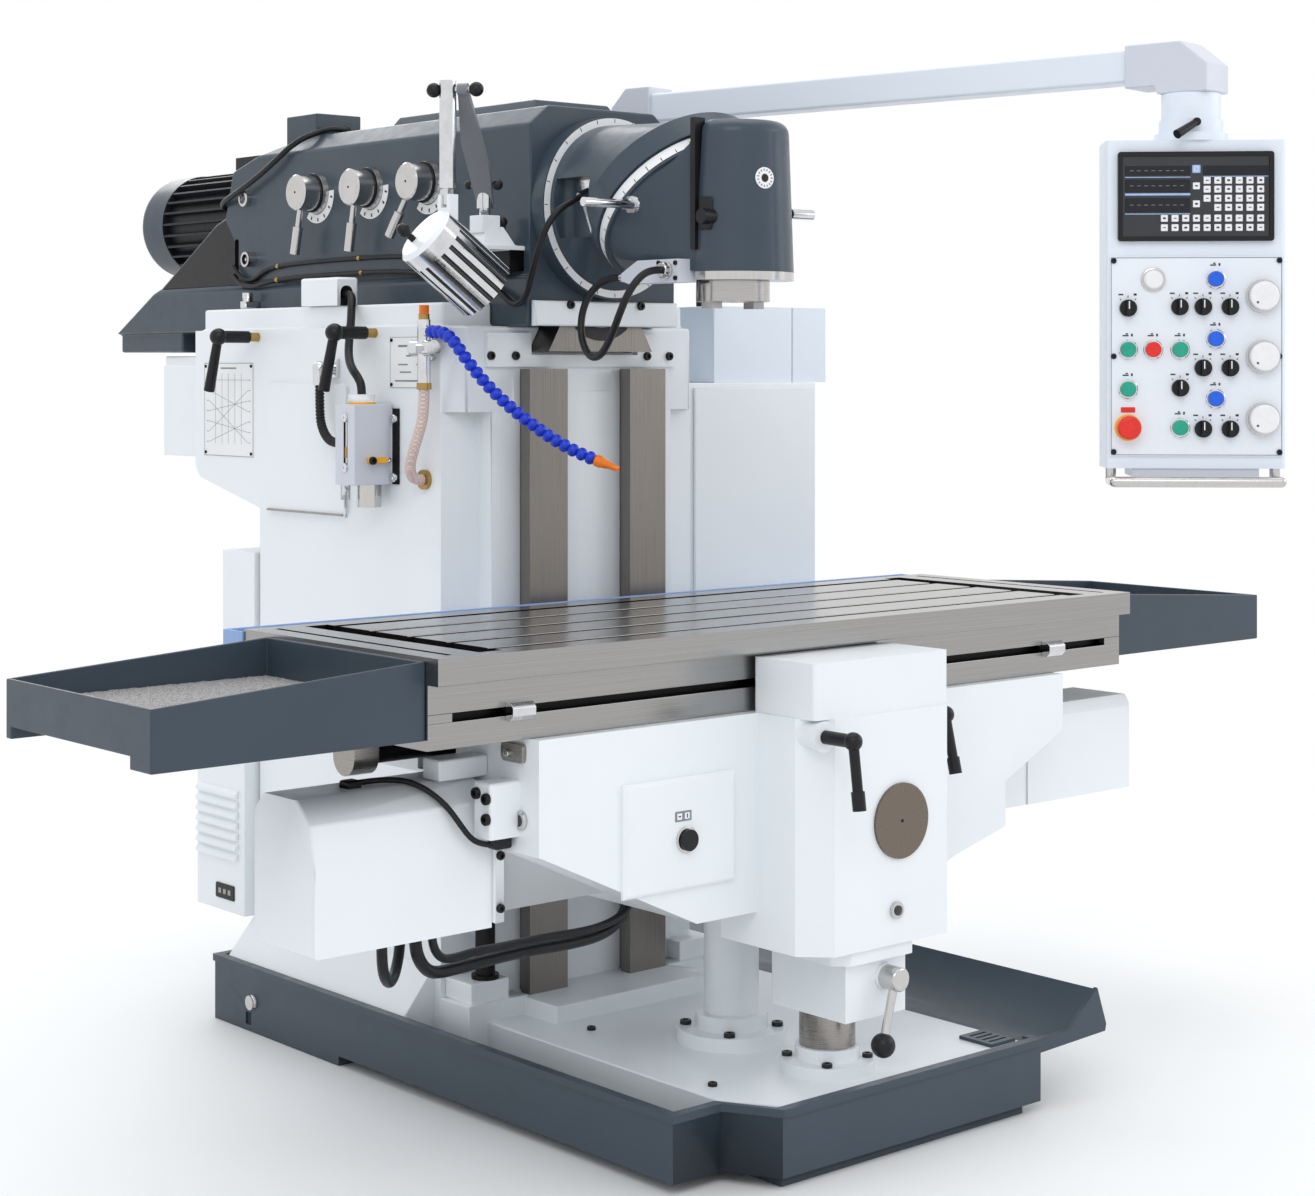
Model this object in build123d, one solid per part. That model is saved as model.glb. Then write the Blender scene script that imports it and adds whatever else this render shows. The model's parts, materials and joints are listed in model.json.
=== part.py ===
"""Ram milling machine with a universal head, a rising knee and a swinging control pendant.

Millimetres. +Z is up and the floor is z = 0. x = 0 is the machine's middle plane, y = 0 lies just
behind the front of the column's head, and the operator stands on the -Y side. The table runs along X.
"""
from build123d import *
import os
from math import cos, pi, radians, sin, sqrt, tan

os.makedirs("parts", exist_ok=True)

# Base
base_half_width = 384
base_front = -825
base_rear = 640
pan_rim = 127
pan_wall = 14
pan_floor = 40
foot_gap = 18
base_floor = 118
chute_reach = 176

# Column
column_half = 300
column_rear = 619
column_nose_half = 215
column_nose = -45
column_shoulder = -5
column_front = -40
head_bottom = 1207
column_deck = 1363
cheek_height = 43
overhang = 252
way_inner = 75
way_width = 88
way_depth = 45
way_top = 1285

# Knee and table
knee_half = 160
knee_front = -822
knee_top = 726
knee_bottom = 402
wing_half = 610
table_length = 1600
table_front = -692
table_width = 536
table_top = 864
table_lip = 41
slot_width = 18
slot_pitch = 105
slot_count = 5
tray_length = 450
gutter_depth = 60
screw_radius = 16
screw_height = 688
post_radius = 47
lift_radius = 48

# Ram and head
ram_half = 170
ram_flange = 178
ram_front = -100
ram_top = 1766
ram_level_end = 704
ram_rear = 1425
dovetail_half = 110
dovetail_height = 46
motor_radius = 115
motor_height = 1610
motor_end = 1435
swivel_height = 1581
swivel_radius = 168
tilt_reach = 226
tilt_radius = 168
barrel_half = 95
barrel_bottom = 1452
barrel_top = 1714
barrel_rear = -468
spindle_reach = 456
spindle_nose_radius = 64.3
spindle_nose = 1402

# Pendant
post_x = 342
post_y = 180
arm_length = 1220
arm_angle = -80.5
arm_height = 1810
arm_section = 58
pendant_width = 300
pendant_depth = 110
pendant_bottom = 1117
pendant_top = 1672
pendant_yaw = -45

# Fits
slide_gap = 0.05
turn_gap = 0.3
bore_gap = 0.05

# Derived places
table_half = table_length / 2
table_back = table_front + table_width
table_middle = (table_front + table_back) / 2
table_body_front = table_front + 26
cheek_top = column_deck + cheek_height
ram_bottom = column_deck + slide_gap
way_outer = way_inner + way_width
way_front = column_nose - way_depth
column_crown_rear = column_rear + overhang
lift_y = table_middle - 28
post_column_y = lift_y - 236
spindle_y = -spindle_reach
tilt_y = ram_front - tilt_reach


def slab(x0, x1, y0, y1, z0, z1):
    """Box between two corners."""
    middle = Pos((x0 + x1) / 2, (y0 + y1) / 2, (z0 + z1) / 2)
    return middle * Box(x1 - x0, y1 - y0, z1 - z0)


def rod(start, direction, radius, length):
    """Cylinder that starts at a point and runs along a direction."""
    seat = Plane(origin=start, z_dir=direction)
    return seat * Cylinder(radius, length, align=(Align.CENTER, Align.CENTER, Align.MIN))


def taper(start, direction, radius, end_radius, length):
    """Cone that starts at a point and runs along a direction."""
    seat = Plane(origin=start, z_dir=direction)
    return seat * Cone(radius, end_radius, length, align=(Align.CENTER, Align.CENTER, Align.MIN))


def ball(centre, radius):
    return Pos(*centre) * Sphere(radius)


def outline(points):
    return make_face(Polyline(*points, close=True))


def plan(points, z0, z1):
    """Outline in X and Y, raised from z0 to z1."""
    return extrude(Pos(0, 0, z0) * outline(points), z1 - z0)


def side(points, x0, x1):
    """Outline in Y and Z, carried from x0 to x1."""
    return extrude(Plane.YZ.offset(x0) * outline(points), x1 - x0)


def front(points, y0, y1):
    """Outline in X and Z, carried from y0 to y1."""
    return extrude(Plane.XZ.offset(-y1) * outline(points), y1 - y0)


def both_sides(shape):
    """A shape and its mirror image across the middle plane."""
    return shape + mirror(shape, Plane.YZ)


def save(name, *shapes):
    solids = [solid for shape in shapes for solid in shape.solids()]
    export_step(Compound(children=solids), f"parts/{name}.step")


def corner_radii(points):
    """Largest even arcs for a cord's corners."""
    radii = []
    for before, corner, after in zip(points, points[1:], points[2:]):
        arriving = Vector(*corner) - Vector(*before)
        leaving = Vector(*after) - Vector(*corner)
        half_turn = radians(arriving.get_angle(leaving)) / 2
        shorter = min(arriving.length, leaving.length)
        radii.append(0.45 * shorter / tan(half_turn))
    return radii


def cord_route(name, points, diameter):
    radii = corner_radii(points)
    route = FilletPolyline(*points, radius=radii)
    tightest = min(radii) / diameter
    print(f"{name}: length {route.length:.0f}, radii", [round(r) for r in radii],
          f"least {tightest:.1f} d")
    return route


def cord(name, points, diameter):
    """Round cord along straight runs joined by tangent arcs."""
    route = cord_route(name, points, diameter)
    section = Plane(origin=route @ 0, z_dir=route % 0) * Circle(diameter / 2)
    tube = sweep(section, path=route)
    exact = pi * diameter * diameter / 4 * route.length
    print(f"{name}: volume over section times length {tube.volume / exact:.4f}")
    return tube


def ribbed_hose(name, points, crest, root, bore, ribs, steady):
    """Hose with a bore and evenly spaced ribs along a route."""
    route = cord_route(name, points, 2 * crest)
    end = 2 * crest / route.length
    steps = [(0, root)]
    for rib in range(ribs):
        start = end + (1 - 2 * end) * rib / ribs
        step = (1 - 2 * end) / ribs
        steps += [(start + step * share, radius) for share, radius in
                  ((0.05, root), (0.25, crest), (0.7, crest), (0.9, root))]
    steps.append((1, root))

    def ring(share, radius):
        along = route % share
        across = Vector(*steady) - along * along.dot(Vector(*steady))
        return Plane(origin=route @ share, x_dir=across, z_dir=along) * Circle(radius)

    body = loft([ring(share, radius) for share, radius in steps], ruled=True)
    if bore == 0:
        return body
    return body - sweep(ring(0, bore), path=route)


# Base

def pan_plan(inset):
    """Outline of the chip pan, drawn in by an inset: its front stands forward of the left corner."""
    return [(-base_half_width + inset, base_rear - inset),
            (-base_half_width + inset, base_front + 90 + inset),
            (-base_half_width + 100, base_front + 90 + inset),
            (-base_half_width + 150, base_front + inset),
            (base_half_width - inset, base_front + inset),
            (base_half_width - inset, base_rear - inset)]


def make_base_pan():
    shell = plan(pan_plan(0), foot_gap, pan_rim) + plan(pan_plan(-4), pan_rim - 13, pan_rim)
    shell += slab(-base_half_width, base_half_width, 200, base_rear, 0, foot_gap)
    shell += slab(-base_half_width + 160, base_half_width - 30, base_front + 14, -380, 0, foot_gap)
    shell += slab(-120, 120, -380, 200, 0, foot_gap)
    shell -= plan(pan_plan(pan_wall), pan_floor, pan_rim)
    chute_x = base_half_width
    lip = base_floor - 7
    shell -= slab(chute_x - pan_wall - 1, chute_x + 9, base_front + 30, base_rear - 30, lip, pan_rim)
    foot = chute_x + 0.44 * chute_reach
    ridge = chute_x + 0.86 * chute_reach
    sheet = [(chute_x - 2, lip - 7), (foot + 3, lip - 7), (ridge + 5, lip + 72), (ridge, lip + 75),
             (foot, lip), (chute_x - 2, lip)]
    shell += front(sheet, base_front + 6, base_rear - 30)
    cheek = [(chute_x - 2, lip - 10), (chute_x + chute_reach, lip - 3),
             (chute_x + chute_reach + 3, lip + 9),
             (ridge + 3, lip + 77), (foot, lip + 16), (chute_x - 2, pan_rim)]
    shell += front(cheek, base_front, base_front + 8)
    plug = rod((-base_half_width, 500, 58), (-1, 0, 0), 14, 8)
    drain_slot = slab(-base_half_width - 1, -base_half_width + 8, 505, 525, 12, 36)
    save("base_pan", shell - drain_slot + plug)


def make_base_plate():
    edge = pan_wall + 1
    inner = base_half_width - edge
    plate = plan([(-258, base_rear - edge), (-258, base_front + 130), (-190, base_front + edge),
                  (inner, base_front + edge), (inner, base_rear - edge)], pan_floor, base_floor)
    wedge = front([(-258, pan_floor), (-inner, pan_floor), (-inner, base_floor + 4), (-column_half, 205),
                   (-258, 205)], column_shoulder + 20, column_rear)
    steps = slab(-302, -170, -92, column_shoulder, base_floor, 152)
    steps += slab(-290, -205, -84, column_shoulder, 152, 188)
    steps += slab(-302, -258, -92, base_rear - edge, pan_floor, base_floor)
    foundation = slab(-176, 176, -186, column_nose, base_floor, 150)
    body = plate + wedge + steps + mirror(steps, Plane.YZ) + foundation
    column_seat = slab(-column_half, column_half, column_shoulder, column_rear, base_floor, 300)
    column_seat += slab(-column_nose_half, column_nose_half, column_nose, column_shoulder, base_floor, 300)
    strainer = slab(inner - 72, inner - 10, base_front + 36, base_front + 110, base_floor, base_floor + 6)
    for row in range(4):
        middle = base_front + 50 + 15 * row
        strainer -= slab(inner - 62, inner - 20, middle - 3, middle + 3, base_floor, base_floor + 7)
    guide = rod((-240, -58, 188), (0, 0, 1), 25, 8) + rod((-240, -58, 188), (0, 0, 1), 18, 400)
    save("base_plate", body - column_seat, strainer, guide)


# Column

def dovetail(gap, drop):
    """Section of the ram's dovetail, widened by a gap and deepened by a drop."""
    low = ram_bottom - dovetail_height - drop
    spread = 26 / dovetail_height
    wide = dovetail_half + 14 + gap + spread * drop
    narrow = dovetail_half - 12 + gap
    return [(-wide, low), (wide, low), (narrow, ram_bottom), (-narrow, ram_bottom)]


def make_column():
    crown = column_crown_rear
    profile = [(column_shoulder, base_floor), (column_rear, base_floor), (column_rear, 1010),
               (crown - 28, 1062),
               (crown, 1098), (crown, column_deck), (column_front, column_deck),
               (column_front, head_bottom),
               (column_shoulder, head_bottom)]
    body = side(profile, -column_half, column_half)
    vertical = body.edges().filter_by(Axis.Z)
    body = fillet([edge for edge in vertical if edge.center().Y > column_half], 14)
    bevel = [(column_half - 32, column_front), (column_half, column_front), (column_half, 0)]
    body -= both_sides(plan(bevel, head_bottom, column_deck))
    body += slab(-column_nose_half, column_nose_half, column_nose, column_shoulder, base_floor,
                 head_bottom)
    body += slab(-way_inner, way_inner, column_nose, column_front, head_bottom, 1243)
    body += both_sides(slab(way_inner, way_outer, column_nose, column_front, head_bottom, way_top))
    body += both_sides(slab(ram_flange + slide_gap, column_half - 12, 6, crown - 26, column_deck,
                            cheek_top))
    body -= front(dovetail(slide_gap, 0.4), column_front - 1, crown + 1)
    panel = slab(-column_half - 8, -column_half, 291, 572, 1005, 1257)
    panel = fillet(panel.edges().filter_by(Axis.X), 10)
    bracket = slab(-column_half - 6, -column_half + 42, 322, 452, cheek_top, 1460)
    arch = slab(-column_half + 1, -column_half + 29, 321, 334, cheek_top - 1, 1444)
    bracket -= fillet(arch.edges().filter_by(Axis.Y).group_by(Axis.Z)[-1], 13)
    front_plate = slab(-228, 228, column_front - 10, column_front, way_top + 4, column_deck - 12)
    opening = dovetail_half + 18
    front_plate -= slab(-opening, opening, column_front - 11, column_front + 1,
                        ram_bottom - dovetail_height - 6, column_deck)
    studs = [rod((-column_half, y, z), (-1, 0, 0), 9, stud_length) for _, y, z in ram_levers]
    studs = [stud - rod((-column_half, y, z), (-1, 0, 0), 5 + bore_gap, stud_length)
             for stud, (_, y, z) in zip(studs, ram_levers)]
    save("column", body, panel, bracket, front_plate, *studs)


def make_column_ways():
    shoulder, neck = way_front + 26, way_front + 34
    section = [(way_inner, way_front), (way_outer, way_front), (way_outer, shoulder),
               (way_outer - 12, neck),
               (way_outer - 12, column_nose), (way_inner + 12, column_nose), (way_inner + 12, neck),
               (way_inner, shoulder)]
    way = plan(section, 150, way_top)
    save("column_ways", way, mirror(way, Plane.YZ))


def make_rear_cabinet():
    near = column_rear
    case = side([(near, 194), (near + 184, 194), (near + 184, 500), (near, 500)], -330, 330)
    case += slab(-308, 308, near, near + 121, 500, 918)
    louvre = side([(near + 21, 0), (near + 176, 0), (near + 176, 14), (near + 21, 14)], -338, -330)
    louvre = chamfer(louvre.edges().group_by(Axis.X)[0].sort_by(Axis.Z)[-1], 7)
    for row in range(7):
        case += Pos(0, 0, 302 + 21 * row) * louvre
    crown = column_crown_rear
    shelf = slab(-150, 150, crown, crown + 380, 1292, 1312)
    duct = slab(-250, 250, crown, crown + 211, 1099, 1292)
    save("rear_cabinet", case, shelf + duct)


def make_electrical_cabinet():
    left = column_half + 2
    case = slab(left, left + 362, 12, 420, 640, 1257)
    door = slab(left + 22, left + 352, 4, 12, 652, 1247)
    bracket = slab(column_half, left, 130, 400, 700, 1200)
    upper = slab(left + 84, left + 400, 20, 200, 1257, 1410)
    upper -= slab(left + 300, left + 304, 19, 24, 1257, 1411)
    save("electrical_cabinet", case + bracket, door, upper)


def make_lift_column():
    base = rod((0, lift_y, base_floor), (0, 0, 1), 96, 24)
    base += rod((0, lift_y, base_floor + 24), (0, 0, 1), 64, 26)
    tube = rod((0, lift_y, base_floor), (0, 0, 1), lift_radius, knee_bottom + 38 - base_floor)
    bore = rod((0, lift_y, base_floor), (0, 0, 1), lift_radius - 20, knee_bottom)
    save("lift_column", base + tube - bore)


def make_support_column():
    base = rod((0, post_column_y, base_floor), (0, 0, 1), 80, 20)
    base += rod((0, post_column_y, base_floor + 20), (0, 0, 1), 54, 22)
    bar = rod((0, post_column_y, base_floor), (0, 0, 1), post_radius, 482)
    save("support_column", base - bar, bar)


# Fittings on the column's left side

lubricator_box = (-388, -306, 141, 205, 1072, 1220)


def make_lubricator():
    x0, x1, y0, y1, z0, z1 = lubricator_box
    tank = slab(x0, x1, y0, y1, z0, z1)
    window = slab(x0 - 1, x0 + 6, y0 + 24, y0 + 36, z0 + 30, z1 - 22)
    tank -= window
    flange = slab(x1, -column_half, y0 - 18, y1 + 60, z0, z1 - 8)
    cap = rod((x0 + 36, y0 + 30, z1), (0, 0, 1), 25, 18)
    pump = rod((x0 + 52, y0 + 30, z0 - 42), (0, 0, 1), 23, 42)
    outlet = rod((x0 + 14, y1 - 14, z0 - 28), (0, 0, 1), 9, 28)
    pipe = rod((x0 + 14, y1 - 14, z0 - 62), (0, 0, 1), 3.5, 34)
    lever = slab(x0 + 26, x0 + 66, y0 - 12, y0, z0 + 40, z0 + 50)
    lever = fillet(lever.edges().filter_by(Axis.Y), 4)
    elbow = rod((-column_half - 8, 340, 1286), (-1, 0, 0), 13, 26)
    elbow += ball((-column_half - 34, 340, 1286), 14)
    elbow += rod((-column_half - 34, 340, 1286), (0, 0, -1), 13, 32)
    stub = slab(-column_half - 8, -column_half, 322, 358, 1268, 1304)
    socket = rod((-340, y1, 1146), (0, 1, 0), 11, 56)
    save("lubricator", tank + flange + cap + pump + outlet + pipe + lever, elbow + stub, socket)


drop_route = [(-285, 333.7, 1428), (-285, 314, 1428), (-289, 298, 1421), (-299, 284, 1404),
              (-308, 272, 1378), (-319, 261, 1346), (-330, 248, 1318), (-341, 228, 1297),
              (-349, 204, 1282), (-352, 184, 1270), (-352, 171.5, 1255), (-352, 171, 1238.3)]
ribbed_route = [(-334, 340, 1254), (-334, 340, 1200), (-336, 330, 1175), (-338, 311, 1156),
                (-340, 286, 1146), (-340, 261, 1146)]


def make_column_conduits():
    drop = cord("drop_conduit", drop_route, 16)
    ribbed = ribbed_hose("ribbed_conduit", ribbed_route, 9, 7.6, 5.6, 24, (1, 0, 0))
    save("column_conduits", drop, ribbed)


stud_length = 22
ram_lever_reach = 68
ram_levers = [("ram_lever_front", 204, 1352), ("ram_lever_rear", 617, 1348)]


def make_ram_lever(name, y, z):
    """Black clamping handle that turns on a brass stud."""
    face = -column_half - stud_length - turn_gap
    end = face - ram_lever_reach
    hub = rod((face, y, z), (-1, 0, 0), 12, ram_lever_reach)
    pin = rod((face, y, z), (1, 0, 0), 5, stud_length - 4)
    knob = ball((end, y, z), 17)
    handle = taper((end, y, z), (0, 0.33, -1), 9, 11, 112)
    save(name, hub + pin + knob + handle)


def make_coolant_valve():
    x, y = -column_half - 24, 13
    flange = rod((-column_half, y + 12, 1322), (-1, 0, 0), 24, 8)
    elbow = rod((-column_half, y + 12, 1322), (-1, 0, 0), 11, 24)
    body = rod((x, y - 30, 1322), (0, 1, 0), 15, 62) + rod((x, y, 1260), (0, 0, 1), 12, 114)
    body += slab(x - 24, x - 10, y - 8, y + 8, 1314, 1330)
    brass = rod((x, y, 1374), (0, 0, 1), 10, 10)
    riser = rod((x, y, 1384), (0, 0, 1), 9, 16)
    clamp = rod((x, y, 1260), (0, 0, -1), 13.5, 12)
    stem = rod((x, y, 1352), (0, -1, 0), 10, 17)
    drain = rod((-column_half, 41, 1084), (-1, 0, 0), 18, 8)
    save("coolant_valve", flange + elbow + body + clamp + stem, brass, riser, drain)


coolant_route = [(-324, 13, 1247.8), (-324, 13, 1220), (-328, 13, 1190), (-336, 17, 1160),
                 (-341, 24, 1133), (-341, 33, 1110), (-335, 39, 1093), (-323, 41, 1084),
                 (-308.2, 41, 1084)]


def make_coolant_hose():
    save("coolant_hose", cord("coolant_hose", coolant_route, 20))


nozzle_route = [(-324, -4, 1352), (-324, -30, 1352), (-324, -56, 1347), (-322, -78, 1332),
                (-314, -94, 1308), (-300, -108, 1282), (-284, -126, 1254), (-266, -148, 1227),
                (-247, -172, 1202), (-228, -198, 1179), (-208, -227, 1157), (-186, -256, 1138),
                (-168, -282, 1126)]


def make_nozzle_hose():
    """Hose of snapped ball segments that keeps the shape it is bent to, with its tapered nozzle."""
    segments = ribbed_hose("nozzle_hose", nozzle_route, 12, 8, 0, 24, (1, 0, 0))
    tip = Vector(*nozzle_route[-1])
    along = (tip - Vector(*nozzle_route[-2])).normalized()
    nozzle = taper(tip, along, 10, 4.5, 46)
    save("nozzle_hose", segments, nozzle)


# Ram

def make_ram():
    profile = [(ram_front, ram_bottom), (ram_front, ram_top), (ram_level_end, ram_top), (930, 1704),
               (962, 1606),
               (1000, 1594), (1228, 1466), (ram_rear, ram_bottom)]
    step = 1450
    section = [(-ram_flange, ram_bottom), (ram_flange, ram_bottom), (ram_flange, step),
               (ram_half, step + 10),
               (ram_half, ram_top - 36), (ram_half - 44, ram_top), (44 - ram_half, ram_top),
               (-ram_half, ram_top - 36), (-ram_half, step + 10), (-ram_flange, step)]
    body = side(profile, -ram_flange, ram_flange) & front(section, ram_front - 1, ram_rear + 1)
    body += slab(-165, 165, 1150, ram_rear, ram_bottom - dovetail_height + 4, ram_bottom)
    body -= rod((0, 940, motor_height), (0, 1, 0), motor_radius + 4, 700)
    pocket = slab(-ram_flange, -ram_half + 6, 905, 921, 1470, 1560)
    body -= fillet(pocket.edges().filter_by(Axis.X), 7)
    plate = slab(-ram_flange + 8, ram_flange - 8, ram_front - 18, ram_front, ram_bottom, ram_bottom + 46)
    save("ram", body, plate)
    return body


def make_ram_way():
    save("ram_way", front(dovetail(0, 0), ram_front + 4, 1146))


def make_ram_covers(ram_body):
    lid = extrude(Pos(0, 210, ram_top) * Rectangle(200, 460), 20, taper=30)
    box = slab(-120, -10, 682, 797, ram_top - 76, ram_top + 47) - ram_body
    box += rod((-54, 682, ram_top + 14), (0, -1, 0), 9, 14) + ball((-54, 668, ram_top + 14), 11)
    sights = [rod((-ram_half, 868, 1643), (-1, 0, 0), 17, 10), rod((-ram_half, 846, 1514),
                                                                   (-1, 0, 0), 16, 22)]
    sights[1] -= rod((-ram_half - 22, 846, 1514), (1, 0, 0), 11, 6)
    plug = rod((-ram_half - 30, 820, ram_bottom + 60), (0, 0, 1), 11, 20)
    plug += slab(-ram_half - 42, -ram_flange, 808, 832, ram_bottom + 46, ram_bottom + 62)
    clip = slab(-ram_flange - 20, -ram_flange, 44, 84, 1424, 1450)
    clip += slab(-ram_flange - 20, -ram_half, 44, 84, 1460, 1484)
    clip += slab(-ram_flange - 20, -ram_flange - 4, 44, 84, 1450, 1460)
    save("ram_covers", lid, box, *sights, plug, clip)


def make_drive_motor():
    fins_start, fins_end = 985, motor_end - 110
    body = rod((0, 940, motor_height), (0, 1, 0), motor_radius + 3, 30)
    body += rod((0, 970, motor_height), (0, 1, 0), motor_radius - 16, fins_end - 970)
    fin = slab(-2.5, 2.5, fins_start, fins_end, motor_radius - 20, motor_radius)
    for turn in range(28):
        body += Pos(0, 0, motor_height) * Rot(0, turn * 360 / 28, 0) * fin
    body += slab(-60, 60, 975, 1100, motor_height + 90, motor_height + 140)
    cowl = rod((0, fins_end, motor_height), (0, 1, 0), motor_radius + 1, motor_end - fins_end)
    cowl = fillet(cowl.edges().group_by(Axis.Y)[-1], 26)
    save("drive_motor", body, cowl)


conduit_radius = 4.5
upper_x = -ram_half - conduit_radius - 0.2
lower_x = -ram_flange - conduit_radius - 0.2
upper_conduit = [(-ram_half - 8, 913, 1512), (upper_x - 4, 880, 1488), (upper_x, 820, 1476),
                 (upper_x, 740, 1480), (upper_x, 560, 1492), (upper_x, 320, 1494), (upper_x, 180, 1484),
                 (upper_x, 86, 1474)]
lower_conduit = [(-ram_half - 8, 913, 1484), (lower_x, 880, 1466), (lower_x, 820, 1456),
                 (lower_x, 740, 1456), (lower_x, 560, 1460), (lower_x, 320, 1460), (lower_x, 180, 1450),
                 (lower_x, 86, 1440)]
motor_route = [(-65, 662, 1781), (-88, 653, 1781), (-113, 648, 1778), (-138, 652, 1769),
               (-161, 667, 1758), (-177, 692, 1741), (-185, 726, 1719), (-188, 770, 1697),
               (-189, 820, 1677), (-189, 870, 1660), (-187, 914, 1647), (-180, 956, 1637),
               (-158, 988, 1630), (-119.5, 1006, 1626)]


def make_ram_cables():
    """Two conduits clipped along the ram's side, and the motor's cable over its back."""
    upper = cord("upper_conduit", upper_conduit, 2 * conduit_radius)
    lower = cord("lower_conduit", lower_conduit, 2 * conduit_radius)
    motor_lead = cord("motor_lead", motor_route, 12)
    save("ram_cables", upper, lower, motor_lead)


speed_levers = [("speed_lever_1", 601, 13), ("speed_lever_2", 409, 11), ("speed_lever_3", 215, 38)]


def make_speed_lever(name, y, lean):
    """Turned hub with a grip that hangs from its rim."""
    z = 1640
    hub = taper((-ram_half - turn_gap, y, z), (-1, 0, 0), 42, 40, 12)
    hub += rod((-ram_half - 12, y, z), (-1, 0, 0), 36, 42)
    hub = chamfer(hub.edges().group_by(Axis.X)[0], 3)
    hang = (0, sin(radians(lean)), -cos(radians(lean)))
    stem = Vector(-ram_half - 36, y, z) + Vector(*hang) * 30
    grip = rod(stem, hang, 6, 40) + rod(stem + Vector(*hang) * 40, hang, 10, 56)
    save(name, hub + grip)


# Lamp on the ram's left side

lamp_post = (-234, -49)
lamp_lean = 216.5
lamp_reach = 132
lamp_offset = 28
lamp_elbow = 1775
lamp_knuckle = 1582
lamp_axis = (0.762, -0.152, -0.63)
lamp_place = Location((*lamp_post, 0), (0, 0, lamp_lean))
lamp_hang = (lamp_place * Location((lamp_reach, -lamp_offset, lamp_knuckle))).position
lamp_centre = lamp_hang + Vector(15, -4, -112)


def make_lamp_bracket():
    x, y = lamp_post
    block = slab(-202, -ram_half, y - 32, y + 32, 1462, 1500)
    deck = slab(-262, -ram_half, y - 35, y + 35, 1500, 1508)
    flare = extrude(Pos(x + 11, y, 1508) * Rectangle(72, 62), 34, taper=25)
    foot = slab(x - 20, x + 20, y - 20, y + 20, 1530, 1562)
    post = rod((x, y, 1562), (0, 0, 1), 10, 12) + rod((x, y, 1574), (0, 0, 1), 8, 24)
    knob = rod((x + 40, y, 1508), (0, 0, 1), 6, 40) + ball((x + 40, y, 1552), 9)
    save("lamp_bracket", block + deck + flare + foot + post + knob)


def make_lamp_arm():
    """Tapered plate that leans outward, with an eye at its head and a boss on the post."""
    rise = lamp_elbow - 1590
    length = sqrt(lamp_reach ** 2 + rise ** 2)
    leaning = Plane(origin=(0, 0, 1590), x_dir=(0, 1, 0), z_dir=(rise, 0, -lamp_reach))
    shape = outline([(-15, -8), (15, -8), (21, 0.34 * length), (9, length), (-9, length),
                     (-22, 0.54 * length)])
    plate = extrude(leaning * shape, 5, both=True)
    plate += rod((0, 0, 1574 + turn_gap), (0, 0, 1), 15, 32)
    plate += rod((lamp_reach, -9, lamp_elbow), (0, 1, 0), 11, 18)
    knob_reach = 26 * lamp_reach / rise
    plate += rod((knob_reach, -22, 1616), (0, 1, 0), 5, 48)
    plate += ball((knob_reach, -25, 1616), 8) + ball((knob_reach, 29, 1616), 10)
    plate -= rod((0, 0, 1570), (0, 0, 1), 8 + bore_gap, 30)
    plate -= rod((lamp_reach, -20, lamp_elbow), (0, 1, 0), 5 + bore_gap, 40)
    save("lamp_arm", lamp_place * plate)


def make_lamp_link():
    tube = rod((lamp_reach, -lamp_offset, lamp_knuckle + 20), (0, 0, 1), 15, lamp_elbow - lamp_knuckle - 4)
    pin = rod((lamp_reach, -lamp_offset - 24, lamp_elbow), (0, 1, 0), 5, lamp_offset + 46)
    knobs = ball((lamp_reach, -lamp_offset - 26, lamp_elbow), 13) + ball((lamp_reach, 24, lamp_elbow), 13)
    tongue = Pos(*lamp_hang) * slab(-6, 6, -8, 8, -8, 22)
    tongue -= Pos(*lamp_hang) * rod((0, -20, 0), (0, 1, 0), 4 + bore_gap, 40)
    save("lamp_link", lamp_place * (tube + pin + knobs) + tongue)


def make_lamp_head():
    axis = Vector(*lamp_axis).normalized()
    back = lamp_centre - axis * 75
    shade = rod(back, axis, 58, 150)
    seat = Plane(origin=back + axis * 28, z_dir=axis)
    flute = Pos(60, 0, 0) * Cylinder(5, 130, align=(Align.CENTER, Align.CENTER, Align.MIN))
    for turn in range(18):
        shade -= seat * Rot(0, 0, turn * 20) * flute
    shade -= rod(back + axis * 40, axis, 50, 120)
    cap = taper(back, axis * -1, 58, 50, 8)
    cheek = slab(-9, 9, 8 + turn_gap, 18, -60, 9)
    fork = cheek + mirror(cheek, Plane.XZ) + slab(-9, 9, -18, 18, -60, -14)
    fork += rod((0, -12, 0), (0, 1, 0), 4, 24)
    fork = Pos(*lamp_hang) * fork - rod(back + axis * 6, axis, 54, 150)
    bulb = rod(back + axis * 39, axis, 18, 30) + ball(back + axis * 84, 27)
    save("lamp_head", shade + cap + bulb + fork)


# Head

head_normal = Vector(0, -1, -1) / sqrt(2)
handle_y = tilt_y - 36
tilt_centre = Vector(0, tilt_y, swivel_height)


def make_swivel_body():
    """First swivel: a flange that turns on the ram, lofted into the inclined seat of the second."""
    flange = rod((0, ram_front - turn_gap, swivel_height), (0, -1, 0), swivel_radius, 34)
    neck_face = Plane(origin=(0, ram_front - 34, swivel_height), z_dir=(0, -1, 0), x_dir=(1, 0, 0))
    seat_face = Plane(origin=tilt_centre - head_normal * 40, z_dir=head_normal, x_dir=(1, 0, 0))
    neck = loft([neck_face * Circle(swivel_radius - 16), seat_face * Circle(tilt_radius - 10)], ruled=True)
    rim = rod(tilt_centre - head_normal * 44, head_normal, tilt_radius + 6, 44)
    relief = slab(-200, -118, ram_front - 150, ram_front - 46, swivel_height - 60, swivel_height + 46)
    relief = fillet(relief.edges().filter_by(Axis.Z), 18)
    gland = rod((-118, -205, 1600), (-0.9, 0.1, -0.42), 10, 22)
    body = flange + neck + rim - both_sides(relief)
    save("swivel_body", body, gland - body)


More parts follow.
